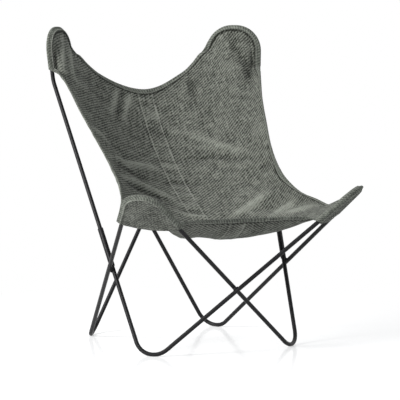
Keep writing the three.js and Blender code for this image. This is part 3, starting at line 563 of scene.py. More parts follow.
def cloth_material(name, dark, light, cell, contrast):
    """Washed cotton canvas: a basket weave of slubby threads under slanting ribs, faded where it
    is rubbed, and darker or lighter where its attribute carries painted shade and highlight. Every
    part of it adds to the tone between dark and light, and to the relief."""
    n = Nodes(bpy.data.materials.new(name))
    place = n.add("Attribute", attribute_name="weave").outputs["Vector"]
    fade_and_shade = n.add("Attribute", attribute_name="fade_and_shade").outputs["Fac"]
    across, down = n.add("SeparateXYZ", {0: place}).outputs[:2]

    def threads(count):
        return [n.math("SINE", n.math("MULTIPLY", side, count * math.pi / cell))
                for side in (across, down)]

    thread_x, thread_y = threads(1)
    basket = n.math("MULTIPLY", thread_x, thread_y)
    ridges = n.math("MULTIPLY", n.math("ABSOLUTE", thread_x), n.math("ABSOLUTE", thread_y))
    yarns = n.math("MULTIPLY", *threads(YARNS))
    slubs = n.math("ADD", *(n.spread(n.noise(n.stretched(place, way), *SLUBS), *CENTRED)
                            for way in (ALONG_WARP, ALONG_WEFT)))
    clouds = n.spread(n.noise(place, *CLOUDS), *CENTRED)
    specks = n.spread(n.noise(place, *SPECKS), *CENTRED)
    slant = n.summed(n.math("MULTIPLY", down, -1), (across, TWILL_SLANT), (clouds, TWILL_WAVER))
    twill = n.math("SINE", n.math("MULTIPLY", slant, 2 * math.pi / TWILL_PITCH))
    tone = n.summed(EVEN_TONE - contrast / 2, (n.remap(basket, -1, 1), contrast),
                    (slubs, contrast * SLUB_TONE), (twill, contrast * TWILL_TONE),
                    (clouds, CLOUD_TONE), (specks, SPECK_TONE), (yarns, YARN_TONE))
    # The attribute adds fading, rubbing, painted shade and painted highlight to the tone.
    shade = n.mix(n.math("ADD", tone, fade_and_shade, clamp=True), dark, light)
    relief = n.summed(n.math("MULTIPLY", ridges, RIDGE_RELIEF), (basket, BASKET_RELIEF),
                      (yarns, YARN_RELIEF), (slubs, SLUB_RELIEF), (specks, SPECK_RELIEF))
    bump = n.add("Bump", {"Height": relief, **CLOTH_BUMP})
    rough = n.remap(specks, *CENTRED, *CLOTH_ROUGH)
    return n.finish(n.add("BsdfPrincipled", {
        "Base Color": shade, "Roughness": rough, "Normal": bump.outputs[0],
        "Specular IOR Level": 0.2, "Sheen Weight": 0.12, "Sheen Roughness": 0.5}))


def thread_material():
    """Cotton thread in two close tones."""
    n = Nodes(bpy.data.materials.new("sewing_thread"))
    place = n.add("TexCoord").outputs["Object"]
    light = chair().finish.thread
    grain = n.noise(place, *THREAD_GRAIN)
    shade = n.mix(n.spread(n.noise(place, *THREAD_TONES)), times(light, THREAD_DARK), light)
    bump = n.add("Bump", {"Height": grain, **THREAD_BUMP})
    return n.finish(n.add("BsdfPrincipled", {
        "Base Color": shade, "Roughness": n.spread(grain, *THREAD_ROUGH),
        "Normal": bump.outputs[0], "Sheen Weight": 0.1}))


def steel_material(name, lumps):
    """Powder coat: fine orange peel and dust, rubbed through where the feet stand."""
    n = Nodes(bpy.data.materials.new(name))
    finish = chair().finish
    place = n.add("TexCoord").outputs["Object"]
    height = n.add("SeparateXYZ", {0: place}).outputs[2]
    peel = n.noise(place, *PEEL)
    dust = n.noise(place, *DUST)
    scratch = n.noise(n.stretched(place, SCRATCH_SCALES), *SCRATCHED)
    edge = n.summed(height, (n.remap(dust, *DUST_STEEP, *CENTRED), FOOT_WAVER))
    worn = n.remap(edge, *FOOT_RUBBED, FOOT_BARE, 0.0)
    marks = n.math("MULTIPLY", n.remap(scratch, *SCRATCH_SPAN), SCRATCH_BARE)
    coat = n.mix(n.spread(dust), finish.steel, times(finish.steel, DUST_LIGHTER))
    shade = n.mix(n.math("MAXIMUM", worn, marks, clamp=True), coat, finish.bare)
    bump = n.add("Bump", {"Height": n.summed(peel, (dust, lumps)), **COAT_BUMP})
    return n.finish(n.add("BsdfPrincipled", {
        "Base Color": shade, "Roughness": n.spread(dust, *COAT_ROUGH),
        "Normal": bump.outputs[0], "Specular IOR Level": 0.2}))


def finishes():
    """The finishes of the chair, made once."""
    if "washed_canvas" not in bpy.data.materials:
        f = chair().finish
        cloth_material("washed_canvas", f.canvas, f.canvas_light, **CANVAS_WEAVE)
        cloth_material("binding_tape", f.binding, times(f.binding, BINDING_LIGHTER),
                       **BINDING_WEAVE)
        thread_material()
        steel_material("powder_coat", ROD_LUMPS)
        steel_material("coated_weld", WELD_LUMPS)
    return bpy.data.materials


# Outline of the canvas. Every station round the edge has its sewn rim point, the points that
# carry the cloth over the rod in a pocket, and a place that counts the stations of the pattern.

# A pocket's section from the rim inwards: how far outside the rod's middle, as shares of the
# overhang, and how high, as shares of the room that rod and cloth take up.
OUTSIDE = (0.84, 0.64, 0.42, 0.23, 0.0, -0.42, -0.86)
RISES = (0.31, 0.50, 0.72, 0.90, 1.0, 1.035, 1.07)
# Stations along a free edge, and how far along it the two beside its hems lie, as a share.
EDGE_STATIONS, HEM_TURN = 12, 0.025
# Stations round a peak, and round each corner of an ear.
PEAK_STATIONS, CORNER_STATIONS = 9, 6
# How far from a hem an edge has left the pocket's section behind, in widths of the binding.
FREED = 3.0
# Rounding of the rim beside the top edge's hems, how far it reaches, and the share of that reach
# in which it is whole. The rim is sampled at a pitch. All but the share are in metres.
HEM_ROUND, HEM_REACH, HEM_WHOLE, RIM_PITCH = 0.029, 0.130, 0.4, 2 * MM


def peak_pocket(rod):
    """Run of a front pocket: over the peak of a rod from hem to hem."""
    f, k = chair().frame, chair().canvas.detail
    back, foot, peak = rod["back"], rod["foot"], rod["peak"]
    arc, arc_way = bend(back, peak, foot, f.peak_bend, PEAK_STATIONS * k)
    cut = np.linalg.norm(peak - arc[0])
    hems = []
    for end, share in zip((back, foot), PEAK_HEMS):
        hem = np.linalg.norm(end - peak) * share
        hems.append([leg_point(peak, end, cut + (hem - cut) * part) for part in (1, 0.5)])
    (hem_b, half_b), (hem_f, half_f) = hems
    runs = [straight(hem_b, half_b, k)[:-1], straight(half_b, arc[0], k)[:-1], arc,
            straight(arc[-1], half_f, k)[1:], straight(half_f, hem_f, k)[1:]]
    way_in, way_out = unit(peak - back), unit(foot - peak)
    ways = [np.tile(way_in, (2 * k, 1)), arc_way, np.tile(way_out, (2 * k, 1))]
    normal = unit(np.cross(back - peak, foot - peak))
    inward = normal * np.sign(normal[2])
    return pocket_path(np.concatenate(runs), np.concatenate(ways), inward, peak)


def ear_pocket(rod):
    """Run of an ear pocket: over the top of an ear arch from hem to hem."""
    f, k = chair().frame, chair().canvas.detail
    top = ear_corners(rod)
    radius = f.ear_bend * ARCH_TIGHTNESS
    first, first_way = bend(top["front_kink"], top["front_top"], top["back_top"], radius,
                            CORNER_STATIONS * k)
    last, last_way = bend(top["front_top"], top["back_top"], top["back_kink"], radius,
                          CORNER_STATIONS * k)
    hem_front = top["front_kink"] + (first[0] - top["front_kink"]) * EAR_HEMS[0]
    hem_back = top["back_kink"] + (last[-1] - top["back_kink"]) * EAR_HEMS[1]
    joint = np.concatenate([first[-1:], last[:k + 1]])
    joint_way = np.concatenate([first_way[-1:], last_way[:k + 1]])
    run = lengths_of(joint)
    even = np.linspace(0, run[-1], k + 1)
    points = [straight(hem_front, first[0], k)[:-1], first, resample(joint, run, even)[1:],
              last[k + 1:], straight(last[-1], hem_back, k)[1:]]
    ways = [np.tile(first_way[0], (k, 1)), first_way, unit(resample(joint_way, run, even))[1:],
            last_way[k + 1:], np.tile(last_way[-1], (k, 1))]
    inward = top["inward"] * (-1 if top["inward"][1] > 0 else 1)
    tip = (top["front_top"] + top["back_top"]) / 2 + vec(0, 0, f.ear_bend)
    return pocket_path(np.concatenate(points), np.concatenate(ways), inward, tip)


def pocket_path(points, ways, inward, tip):
    """A pocket's run with the directions out of the canvas and up from it."""
    middle = len(points) // 2
    chord = (points[0] + points[-1]) / 2
    sign = np.sign(np.cross(ways[middle], inward) @ (tip - chord))
    outward = unit(np.cross(ways, inward)) * sign
    return {"points": points, "outward": outward, "inward": inward}


def turned_round(path):
    return {"points": path["points"][::-1], "outward": path["outward"][::-1],
            "inward": path["inward"]}


def pocket_section(path, face):
    """Rim and the points inwards from it, for the canvas (face 1) or the outer patch (-1)."""
    f, c = chair().frame, chair().canvas
    run = lengths_of(path["points"])
    to_hem = np.minimum(run, run[-1] - run)
    lift = (c.tape + c.tape_ease + f.clearance) * (1 - smoothstep(to_hem, 0, c.tape_width))
    rises = f.rod / 2 + f.clearance + c.cloth / 2 + lift * (face > 0)
    section = [path["points"] + path["outward"] * c.overhang
               + path["inward"] * face * (c.cloth + f.clearance) / 2]
    for outside, share in zip(OUTSIDE, RISES):
        section.append(path["points"] + path["outward"] * outside * c.overhang
                       + path["inward"] * (face * rises * share)[:, None])
    return np.stack(section, axis=1)


def spline(points, places, samples=400):
    """Centripetal curve through points, read at even shares of its length."""
    points = np.asarray(points)
    n = len(points)
    ends = np.concatenate([[2 * points[0] - points[1]], points, [2 * points[-1] - points[-2]]])

    def at(t):
        i = min(int((n - 1) * t), n - 2)
        w = (n - 1) * t - i
        p0, p1, p2, p3 = ends[i:i + 4]
        d0, d1, d2 = (math.sqrt(np.linalg.norm(q - p)) for p, q in ((p0, p1), (p1, p2), (p2, p3)))
        t1 = ((p1 - p0) / d0 - (p2 - p0) / (d0 + d1) + (p2 - p1) / d1) * d1
        t2 = ((p2 - p1) / d1 - (p3 - p1) / (d1 + d2) + (p3 - p2) / d2) * d1
        return (p1 + t1 * w + (-3 * p1 + 3 * p2 - 2 * t1 - t2) * w ** 2
                + (2 * p1 - 2 * p2 + t1 + t2) * w ** 3)

    shares = np.linspace(0, 1, samples + 1)
    run = lengths_of(np.array([at(t) for t in shares]))
    return np.array([at(t) for t in np.interp(np.asarray(places) * run[-1], run, shares)])


def free_edge(start, shares, end, side, steps, detail):
    """Rim of a free edge between two hems, with the stations that its points count. It is shifted
    by one step of the rods at its start and by the other at its end."""
    middle = []
    for i, share in enumerate(shares):
        p = in_frame(share)
        part = (i + 1) / (len(shares) + 1)
        middle.append((mirrored(p) if side < 0 else p) + steps[0] * (1 - part) + steps[1] * part)
    stations = [0, HEM_TURN, *(i / EDGE_STATIONS for i in range(1, EDGE_STATIONS)),
                1 - HEM_TURN, 1]
    counts = np.arange(0, (len(stations) - 1) * detail + 1) / detail
    places = np.interp(counts, np.arange(len(stations)), stations)
    return spline([start, *middle, end], places)[1:-1], counts[1:-1]


def both_halves(shares):
    """An edge across the middle, from its left half."""
    return [*shares, *((-x, y, z) for x, y, z in shares[-2::-1])]


class Outline:
    """Stations round the canvas with their rim, section points and place in the pattern."""

    def __init__(self, rods):
        c = chair().canvas
        left, right = rods["left"], rods["right"]
        self.pockets = {
            "ear_left": turned_round(ear_pocket(left)),
            "front_left": peak_pocket(right),
            "front_right": turned_round(peak_pocket(left)),
            "ear_right": ear_pocket(right),
        }
        rear, front = left["ear_step"], right["peak_step"]
        side_detail, long_detail = 2 * c.detail, 3 * c.detail
        edges = (
            (SIDE_EDGE, -1, (rear, front), side_detail),
            (both_halves(FRONT_EDGE), -1, (front, -front), long_detail),
            (SIDE_EDGE[::-1], 1, (-front, -rear), side_detail),
            (both_halves(TOP_EDGE), 1, (-rear, rear), long_detail),
        )
        names = list(self.pockets)
        sections = {name: pocket_section(path, 1) for name, path in self.pockets.items()}
        rims, extras, place = [], [], []
        self.first, self.last = {}, {}
        count, station = 0, 0.0
        for k, name in enumerate(names):
            section = sections[name]
            n = len(section)
            self.first[name], self.last[name] = count, count + n - 1
            rims.append(section[:, 0])
            extras.append(section[:, 1:] - section[:, :1])
            place.append(station + np.arange(n) / c.detail)
            station += (n - 1) / c.detail
            after = sections[names[(k + 1) % len(names)]]
            shares, side, steps, detail = edges[k]
            rim, counts = free_edge(section[-1, 0], shares, after[0, 0], side, steps, detail)
            hems = (extras[-1][-1], after[0, 1:] - after[0, :1])
            away = [np.linalg.norm(rim - hem, axis=1) for hem in (section[-1, 0], after[0, 0])]
            near_first = away[0] < away[1]
            weight = 1 - smoothstep(np.minimum(*away), 0, c.tape_width * FREED)
            rims.append(rim)
            extras.append(weight[:, None, None] * np.where(near_first[:, None, None], *hems))
            place.append(station + counts)
            count += n + len(rim)
            station += EDGE_STATIONS + 2
        self.rim = np.concatenate(rims)
        self.extras = self.rim[:, None] + np.concatenate(extras)
        self.shift = self.eased()
        self.rim = self.rim + self.shift
        self.place = np.concatenate(place)
        self.stations = station
        self.edge_spans = {}
        for k, name in enumerate(names):
            start, end = self.last[name], self.first[names[(k + 1) % len(names)]]
            self.edge_spans[EDGES[k]] = (start, end if end > start else end + count)
        self.angles = self.angles_of_rays()

    def eased(self):
        """How far the rim stands off beside the top edge, which leaves the ears in a sweep."""
        loop = np.concatenate([self.rim, self.rim[:1]])
        run = lengths_of(loop)
        total, count = run[-1], int(run[-1] / RIM_PITCH)
        pitch = total / count
        even = resample(loop, run, np.arange(count) * pitch)
        turn = np.arange(count)
        kernel = np.exp(-0.5 * (np.minimum(turn, count - turn) * pitch / HEM_ROUND) ** 2)
        kernel = np.fft.rfft(kernel / kernel.sum())[:, None]
        calm = np.fft.irfft(np.fft.rfft(even, axis=0) * kernel, count, axis=0)
        calm = np.concatenate([calm, calm[:1]])
        shift = resample(calm, np.arange(count + 1), run[:-1] / pitch) - self.rim
        inward = self.extras[:, -1] - self.rim
        inward /= np.maximum(np.linalg.norm(inward, axis=1, keepdims=True), MM / 100)
        off = np.abs(run[:-1, None] - run[[self.first["ear_left"], self.last["ear_right"]]])
        near = np.minimum(off, total - off).min(axis=1)
        shift *= (1 - smoothstep(near, HEM_WHOLE * HEM_REACH, HEM_REACH))[:, None]
        return shift - np.maximum((shift * inward).sum(axis=1), 0)[:, None] * inward

    def angles_of_rays(self):
        """Angle of each ray about the seat: half by length of rim, half even."""
        whole = np.arange(int(round(self.stations)))
        coarse = resample(self.rim, self.place, whole)
        steps = np.linalg.norm(np.roll(coarse, -1, axis=0) - coarse, axis=1)
        turns = math.pi * (steps / steps.sum() + 1 / len(whole))
        return np.interp(self.place, np.arange(len(whole) + 1),
                         np.concatenate([[0], np.cumsum(turns)]))


# Hanging shape: an evenly stretched film over the disc of rays, with slack from use.

# Waves round the disc in the film and in its squared load, samples round the rim, and steps from
# the middle of the film to its rim.
SERIES, LOAD_SERIES, SAMPLES, FILM_STEPS = 256, 20, 2048, 150
# Rings of the sling and of a patch, and those nearest to the rim, in millimetres from it.
RINGS, PATCH_RINGS = 116, 40
NEAR_RIM = (0, 0.8, 2.0, 4.2, 6.4, 8.6, 10.8, 12.6, 13.4, 14.0, 15.2, 17.2, 19.6, 22.3, 25.2, 28.4)


def disc_series(angles, values):
    """Fourier series of a rim value, read round the disc."""
    even = np.linspace(0, 2 * math.pi, SAMPLES, endpoint=False)
    wrapped = np.interp(even, np.append(angles, 2 * math.pi), np.append(values, values[0]))
    return np.fft.fft(wrapped) / SAMPLES


def waves(limit):
    return np.arange(-limit, limit + 1)


class Film:
    """The sagging film over the disc of rays, spanned between the innermost points of the rim."""

    def __init__(self, outline):
        f = chair().frame
        self.outline = outline
        inner = outline.extras[:, -1]
        self.rings = np.linspace(0, 1, FILM_STEPS + 1)
        k = waves(SERIES)
        around = np.exp(1j * np.outer(outline.angles, k))
        powers = self.rings[None] ** np.abs(k)[:, None]
        flat = [self.read(around, powers, disc_series(outline.angles, inner[:, axis])[k])
                for axis in range(3)]
        series = disc_series(outline.angles, inner[:, 1]) / (SAG_REFERENCE * f.depth)
        even = np.broadcast_to((1 - self.rings ** 2) / 4, flat[0].shape)
        shrink = (1 - self.rings ** 2)[None] / (4 * (np.abs(k)[:, None] + 1))
        back = self.read(around, powers * shrink, series[k])
        end = self.squared_load(series)
        down = SAG_DOWN[0] * even + SAG_DOWN[1] * back + SAG_DOWN[2] * end
        behind = SAG_BACK[0] * even + SAG_BACK[1] * back
        self.points = np.stack([flat[0], flat[1] + behind * f.depth,
                                flat[2] - down * f.height], axis=2)
        self.points[:, -1] = inner

    @staticmethod
    def read(around, powers, series):
        """Sum of waves at each ray and ring."""
        return (around @ (series[:, None] * powers)).real

    def squared_load(self, series):
        """Film under a load that is the square of a film: sums of products of its waves."""
        k = waves(LOAD_SERIES)
        total = {}
        for a in k:
            for b in k:
                key = (int(a + b), int(abs(a) + abs(b)))
                total[key] = total.get(key, 0) + series[a] * series[b]
        m = np.array([key[0] for key in total])
        p = np.array([key[1] for key in total])
        weight = np.array(list(total.values())) / ((p + 2.0) ** 2 - m ** 2)
        shape = (self.rings[None] ** np.abs(m)[:, None] - self.rings[None] ** (p + 2)[:, None])
        around = np.exp(1j * np.outer(self.outline.angles, m))
        return (around @ (weight[:, None] * shape)).real


def ring_places(total, rings):
    """Distances from the rim of the rings of one ray, finest at the rim."""
    near = np.array(NEAR_RIM) * MM
    return np.concatenate([near, np.linspace(near[-1], total, rings - len(near) + 2)[1:]])


def normals_of(points, closed):
    """Normals of a grid of cloth: rays by rings, ring 0 at the rim."""
    along = (np.roll(points, -1, axis=0) - np.roll(points, 1, axis=0) if closed
             else np.gradient(points, axis=0))
    n = np.cross(along, np.gradient(points, axis=1))
    n[:, -1] = n[:, -2].mean(axis=0) if closed else n[:, -2]
    return unit(n)


# Unevenness of used cloth, as noises: size of the cells and height in millimetres, and seed.
PULLS = ((500, 1.1, 3),)
WAVES = ((85, 2.2, 5), (38, 0.7, 7))
RUFFLES = ((16, 0.22, 11),)
PUCKERS = ((9, 0.8, 13), (5.5, 0.4, 17))
GATHERS = ((15, 1.1, 19),)
PATCH_WAVES = ((30, 1.6, 23), (14, 0.5, 29))
# The spaces they are laid in: pulls on a drum of this radius and depth in metres, ruffles
# squeezed along the upright, puckers with their slant and their change across the band, and
# gathers with the step from one station to the next and their change away from the rim.
PULL_DRUM, RUFFLE_SPACE, PUCKER_SLANT = (9, 2.2), (1, 1, 1.6), (0.22, 0.10)
GATHER_STEP, GATHER_CHANGE = 50 * MM, 0.25
# Where they set in: pulls in shares of the film's rings, all others in millimetres from the rim.
PULLED, OPEN_CLOTH, CREASED, GATHERED, SLACK = (0.35, 0.8), (24, 60), (14, 34), (0, 15), (30, 70)
# Reach of the puckers beside the band and of the gathers, height of the puckers, and slack of a
# patch, in millimetres.
PUCKER_REACH, GATHER_REACH, PUCKER_RISE, PATCH_SLACK = 11, 26, 1.2, 2.5
# How rubbed and how shaded the cloth is painted: height in millimetres at which a crease counts
# fully, and the limits, and how much a pucker counts. Raised creases and puckers are painted
# lighter, as rubbing and painted highlight, and hollow ones darker, as painted shade.
FULL_CREASE, RUB_AND_SHADE_SPAN, PUCKER_LIGHT_AND_SHADE = 5, (-0.8, 1), 0.62


# Values of a noise, as a power of two, and primes that scatter them over the cells.
NOISE_VALUES, PRIMES = 4096, (73856093, 19349663, 83492791)


def value_noise(points, cell, seed):
    """Smooth noise from -1 to 1 in a plane or in space."""
    table = np.random.default_rng(seed).uniform(-1, 1, NOISE_VALUES)
    q = np.asarray(points) / cell
    base = np.floor(q).astype(np.int64)
    t = q - base
    t = t * t * (3 - 2 * t)
    total = 0
    for corner in np.ndindex(*(2,) * q.shape[-1]):
        at = base + np.array(corner)
        mixed = sum(at[..., axis] * prime for axis, prime in enumerate(PRIMES[:q.shape[-1]]))
        weight = np.prod(np.where(np.array(corner) == 1, t, 1 - t), axis=-1)
        total = total + weight * table[mixed & (NOISE_VALUES - 1)]
    return total


def uneven(points, noises):
    """Sum of noises in millimetres, from rows of cell, height and seed."""
    return sum(value_noise(points, cell * MM, seed) * height for cell, height, seed in noises)


def sets_in(inside, span):
    """From 0 to 1 over a span of distances from the rim in millimetres."""
    return smoothstep(inside, span[0] * MM, span[1] * MM)


def soft_line(away, place, half):
    """1 on a line, fading over half its width; place and half are in millimetres."""
    return np.exp(-((away - place * MM) / (half * MM)) ** 2)


def corner_folds(share, ring, height):
    """Height of the broad folds that fan out of the corners."""
    total = np.zeros_like(ring)
    for place, half, start, rise in CORNER_FOLDS:
        off = np.abs(share - place) / half
        run = np.clip((ring - start) / (1 - start), 0, 1)
        total += np.where(off < 2, rise * height * np.sin(math.pi * run)
                          * np.cos(math.pi * np.clip(off, 0, 2) / 4) ** 2, 0)
    return total


# Points along a crease and samples for placing them, how far it reaches in half widths, and how
# its ends die away: the least share of its run, and the power of the sine.
CREASE_POINTS, CREASE_SAMPLES, CREASE_WIDTHS, CREASE_END, CREASE_POWER = 24, 60, 3, 0.06, 0.7


def seen_at(points):
    """Where the photograph shows points, in pixels, and how far they are along its view."""
    turn, lift = map(math.radians, CAMERA_ANGLES)
    away = vec(math.sin(turn) * math.cos(lift), -math.cos(turn) * math.cos(lift),
               math.sin(lift))
    right = vec(math.cos(turn), math.sin(turn), 0)
    off = points - vec(*CAMERA_TARGET) - away * CAMERA_DISTANCE
    far = -(off @ away)
    scale = PHOTO_SIDE * CAMERA_LENS / CAMERA_SENSOR / far
    place = np.stack([off @ right * scale, off @ np.cross(right, away) * scale], axis=-1)
    return place + PHOTO_SIDE / 2, far


def under_pixels(pixels, cloth):
    """Points of the cloth that the photograph shows at pixels, on the triangles of its grid."""
    after = np.roll(cloth, -1, axis=0)
    a, b, c, d = cloth[:, :-1], after[:, :-1], after[:, 1:], cloth[:, 1:]
    corners = np.concatenate([np.stack([a, b, c], axis=2), np.stack([a, c, d], axis=2)])
    corners = corners.reshape(-1, 3, 3)
    place, far = seen_at(corners)
    first, along, across = place[:, 0], place[:, 1] - place[:, 0], place[:, 2] - place[:, 0]
    area = along[:, 0] * across[:, 1] - along[:, 1] * across[:, 0]
    area[area == 0] = np.inf
    found = []
    for pixel in pixels:
        off = np.array(pixel) - first
        u = (off[:, 0] * across[:, 1] - off[:, 1] * across[:, 0]) / area
        v = (along[:, 0] * off[:, 1] - along[:, 1] * off[:, 0]) / area
        hits = np.flatnonzero((u >= 0) & (v >= 0) & (u + v <= 1) & np.isfinite(area))
        if len(hits):
            best = hits[far[hits].mean(axis=1).argmin()]
            found.append(vec(1 - u[best] - v[best], u[best], v[best]) @ corners[best])
    return np.array(found)


def crease_heights(points):
    """Height of the creases at points: rounded ridges that die away at both ends."""
    flat = points.reshape(-1, 3)
    total = np.zeros(len(flat))
    for half, rise, knots in CREASES:
        line = spline(under_pixels(knots, points), np.linspace(0, 1, CREASE_POINTS),
                      CREASE_SAMPLES)
        run = lengths_of(line) / lengths_of(line)[-1]
        reach = CREASE_WIDTHS * half * MM
        near = np.flatnonzero(np.all((flat > line.min(axis=0) - reach)
                                     & (flat < line.max(axis=0) + reach), axis=1))
        away = np.linalg.norm(flat[near, None] - line[None], axis=2)
        best = away.argmin(axis=1)
        off = away[np.arange(len(near)), best] / (half * MM)
        place = np.clip(run[best], CREASE_END, 1 - CREASE_END)
        ends = np.sin(math.pi * place) ** CREASE_POWER
        total[near] += rise * CREASE_GAIN * MM * ends * np.exp(-off ** 2)
    return total.reshape(points.shape[:-1])


# Pitch at which the rods are sampled, points that are handled at a time, how near a rod they
# have to be, in wanted distances, how strongly the normal turns those that are too near, and how
# far beside the binding the canvas still keeps the distance that the binding needs.
ROD_PITCH, AT_A_TIME, NEAR_ROD, TURN_OUT, BESIDE_TAPE = 3 * MM, 2000, 1.5, 1.5, 2 * MM


def clear_of_rods(points, normals, paths, wanted):
    """Push points out of the rods to a wanted distance from their middle."""
    lines = [resample(p, lengths_of(p), np.arange(0, lengths_of(p)[-1], ROD_PITCH))
             for p in paths]
    line, ways = np.concatenate(lines), np.concatenate([tangents_of(each) for each in lines])
    flat, up = points.reshape(-1, 3), normals.reshape(-1, 3)
    need = np.broadcast_to(wanted, points.shape[:-1]).ravel()
    out = flat.copy()
    for start in range(0, len(flat), AT_A_TIME):
        part = slice(start, start + AT_A_TIME)
        away = ((flat[part, None] - line[None]) ** 2).sum(axis=2)
        best = away.argmin(axis=1)
        near = np.sqrt(away[np.arange(len(best)), best]) < NEAR_ROD * need[part]
        rows = np.flatnonzero(near) + start
        if not len(rows):
            continue
        index = best[near]
        offset = flat[rows] - line[index]
        offset -= (offset * ways[index]).sum(axis=1, keepdims=True) * ways[index]
        gap = np.linalg.norm(offset, axis=1)
        rise = up[rows] - (up[rows] * ways[index]).sum(axis=1, keepdims=True) * ways[index]
        short = np.clip(1 - gap / need[rows], 0, None)[:, None]
        wanted_offset = unit(offset / need[rows, None] + TURN_OUT * short * unit(rise))
        moved = wanted_offset * need[rows, None] - offset
        out[rows] += np.where(short > 0, moved, 0)
    return out.reshape(points.shape)


# Patches: how far the hub lies beyond the hem, in widths of the binding, steps of the fan of rays
# that runs to it, and the ring where the side that a patch faces is read.
HUB_BEYOND, FAN_STEPS, FACING_RING = 0.4, 34, 12


class Sling:
    """The hung canvas with its folds, and what is sewn to it."""

    def __init__(self):
        f, c = chair().frame, chair().canvas
        self.pieces = {}
        self.rods = {"left": rod_corners(-1), "right": rod_corners(1)}
        left, right = self.rods["left"], self.rods["right"]
        self.laps = {"left": laps_of(left, right), "right": laps_of(right, left)}
        self.paths = [centred(make(self.rods[s], self.laps[s]))
                      for s in ("left", "right") for make in (base_path, arch_path)]
        self.outline = Outline(self.rods)
        self.build_sheet(f, c)
        self.patches = {name: self.patch(name, path, f, c)
                        for name, path in self.outline.pockets.items()}

    def build_sheet(self, f, c):
        outline = self.outline
        film = Film(outline)
        curves = np.concatenate([film.points, outline.extras[:, -2::-1],
                                 outline.rim[:, None]], axis=1)
        shares = np.concatenate([film.rings, np.ones(curves.shape[1] - len(film.rings))])
        points = np.empty((len(curves), RINGS + 1, 3))
        self.ring, self.inside = np.empty((2, *points.shape[:2]))
        for i, line in enumerate(curves):
            run = lengths_of(line)
            self.inside[i] = ring_places(run[-1], RINGS)
            wanted = run[-1] - self.inside[i]
            points[i] = resample(line, run, wanted)
            self.ring[i] = np.interp(wanted, run, shares)
        points = centred(points)
        points[:, -1] = points[:, -1].mean(axis=0)
        self.share = np.repeat(outline.angles[:, None] / (2 * math.pi), RINGS + 1, axis=1)
        normals = normals_of(points, True)
        flip = 1 if normals[:, -1, 2].mean() > 0 else -1
        points = points + flip * normals * self.used_shape(points)[..., None]
        need = f.rod / 2 + c.cloth / 2 + f.clearance
        taped = self.inside < c.tape_width + BESIDE_TAPE
        need = need + (c.tape + c.tape_ease) * taped
        self.points = clear_of_rods(points, flip * normals_of(points, True), self.paths, need)
        self.normals = flip * normals_of(self.points, True)

    def used_shape(self, points):
        """Folds, creases and small unevenness of cloth that has been washed and sat in."""
        inside, ring = self.inside, self.ring
        x, y, z = np.moveaxis(points, -1, 0)
        angle = 2 * math.pi * self.share
        drum = np.stack([np.cos(angle) * PULL_DRUM[0], np.sin(angle) * PULL_DRUM[0],
                         ring * PULL_DRUM[1]], axis=2)
        pulls = uneven(drum, PULLS) * smoothstep(ring, *PULLED)
        creases = crease_heights(points) * sets_in(inside, CREASED)
        ruffles = uneven(points * vec(*RUFFLE_SPACE), RUFFLES)
        seam = np.stack([y + z + PUCKER_SLANT[0] * x, x * PUCKER_SLANT[1]], axis=2)
        beside = np.maximum(np.abs(x) - chair().canvas.band * 0.5, 0)
        puckers = uneven(seam, PUCKERS) * soft_line(beside, 0, PUCKER_REACH)
        # Raised creases and puckers are painted lighter, as rubbing and painted highlight, and
        # hollow ones darker, as painted shade, in the canvas's colour.
        self.rubbed_and_shaded = (np.clip(creases / (FULL_CREASE * MM), *RUB_AND_SHADE_SPAN)
                       + puckers * PUCKER_LIGHT_AND_SHADE)
        rim = np.stack([self.outline.place[:, None] * GATHER_STEP + 0 * ring,
                        inside * GATHER_CHANGE], axis=2)
        gathers = (uneven(rim, GATHERS) * soft_line(inside, 0, GATHER_REACH)
                   * sets_in(inside, GATHERED))
        small = (sets_in(inside, OPEN_CLOTH) * (pulls + uneven(points, WAVES)) + ruffles
                 + puckers * PUCKER_RISE + gathers)
        broad = corner_folds(self.share, ring, chair().frame.height)
        return broad + creases + small * MM

    def patch(self, name, path, f, c):
        """Points, normals and distances from the rim of the outer patch of one pocket. Its rays
        meet in a hub beyond the hem."""
        section = pocket_section(path, -1)
        first = self.outline.first[name]
        section[:, 0] += self.outline.shift[first:first + len(section)]
        inner, middle = section[:, -1], len(section) // 2
        hem = (inner[0] + inner[-1]) / 2
        hub = hem + unit(hem - inner[middle]) * c.tape_width * HUB_BEYOND
        spread = np.linspace(0, 1, FAN_STEPS)[None, :, None]
        fan = inner[:, None] + (hub - inner[:, None]) * spread
        curves = np.concatenate([section[:, :-1], fan], axis=1)
        points = np.empty((len(curves), PATCH_RINGS + 1, 3))
        inside = np.empty(points.shape[:2])
        for i, line in enumerate(curves):
            run = lengths_of(line)
            inside[i] = ring_places(run[-1], PATCH_RINGS)
            points[i] = resample(line, run, inside[i])
        points = centred(points)

        def outward(grid):
            normals = normals_of(grid, False)
            return normals * -np.sign(normals[middle, FACING_RING] @ path["inward"])

        normals = outward(points)
        height = (uneven(points, PATCH_WAVES) + PATCH_SLACK) * sets_in(inside, SLACK) * MM
        points = clear_of_rods(points + normals * height[..., None], normals, self.paths,
                               f.rod / 2 + c.cloth / 2 + f.clearance)
        return {"points": points, "normals": outward(points), "inside": inside}

    def taped(self):
        """First ray, last ray and outer patch under each length of binding, by its node."""
        o = self.outline
        spans = {f"pocket_tape_{n}": (o.first[n], o.last[n], self.patches[n]) for n in o.pockets}
        spans.update({f"edge_tape_{n}": (*o.edge_spans[n], None) for n in EDGES})
        return spans


SLING = {}


def sling():
    if not SLING:
        SLING["made"] = Sling()
    return SLING["made"]


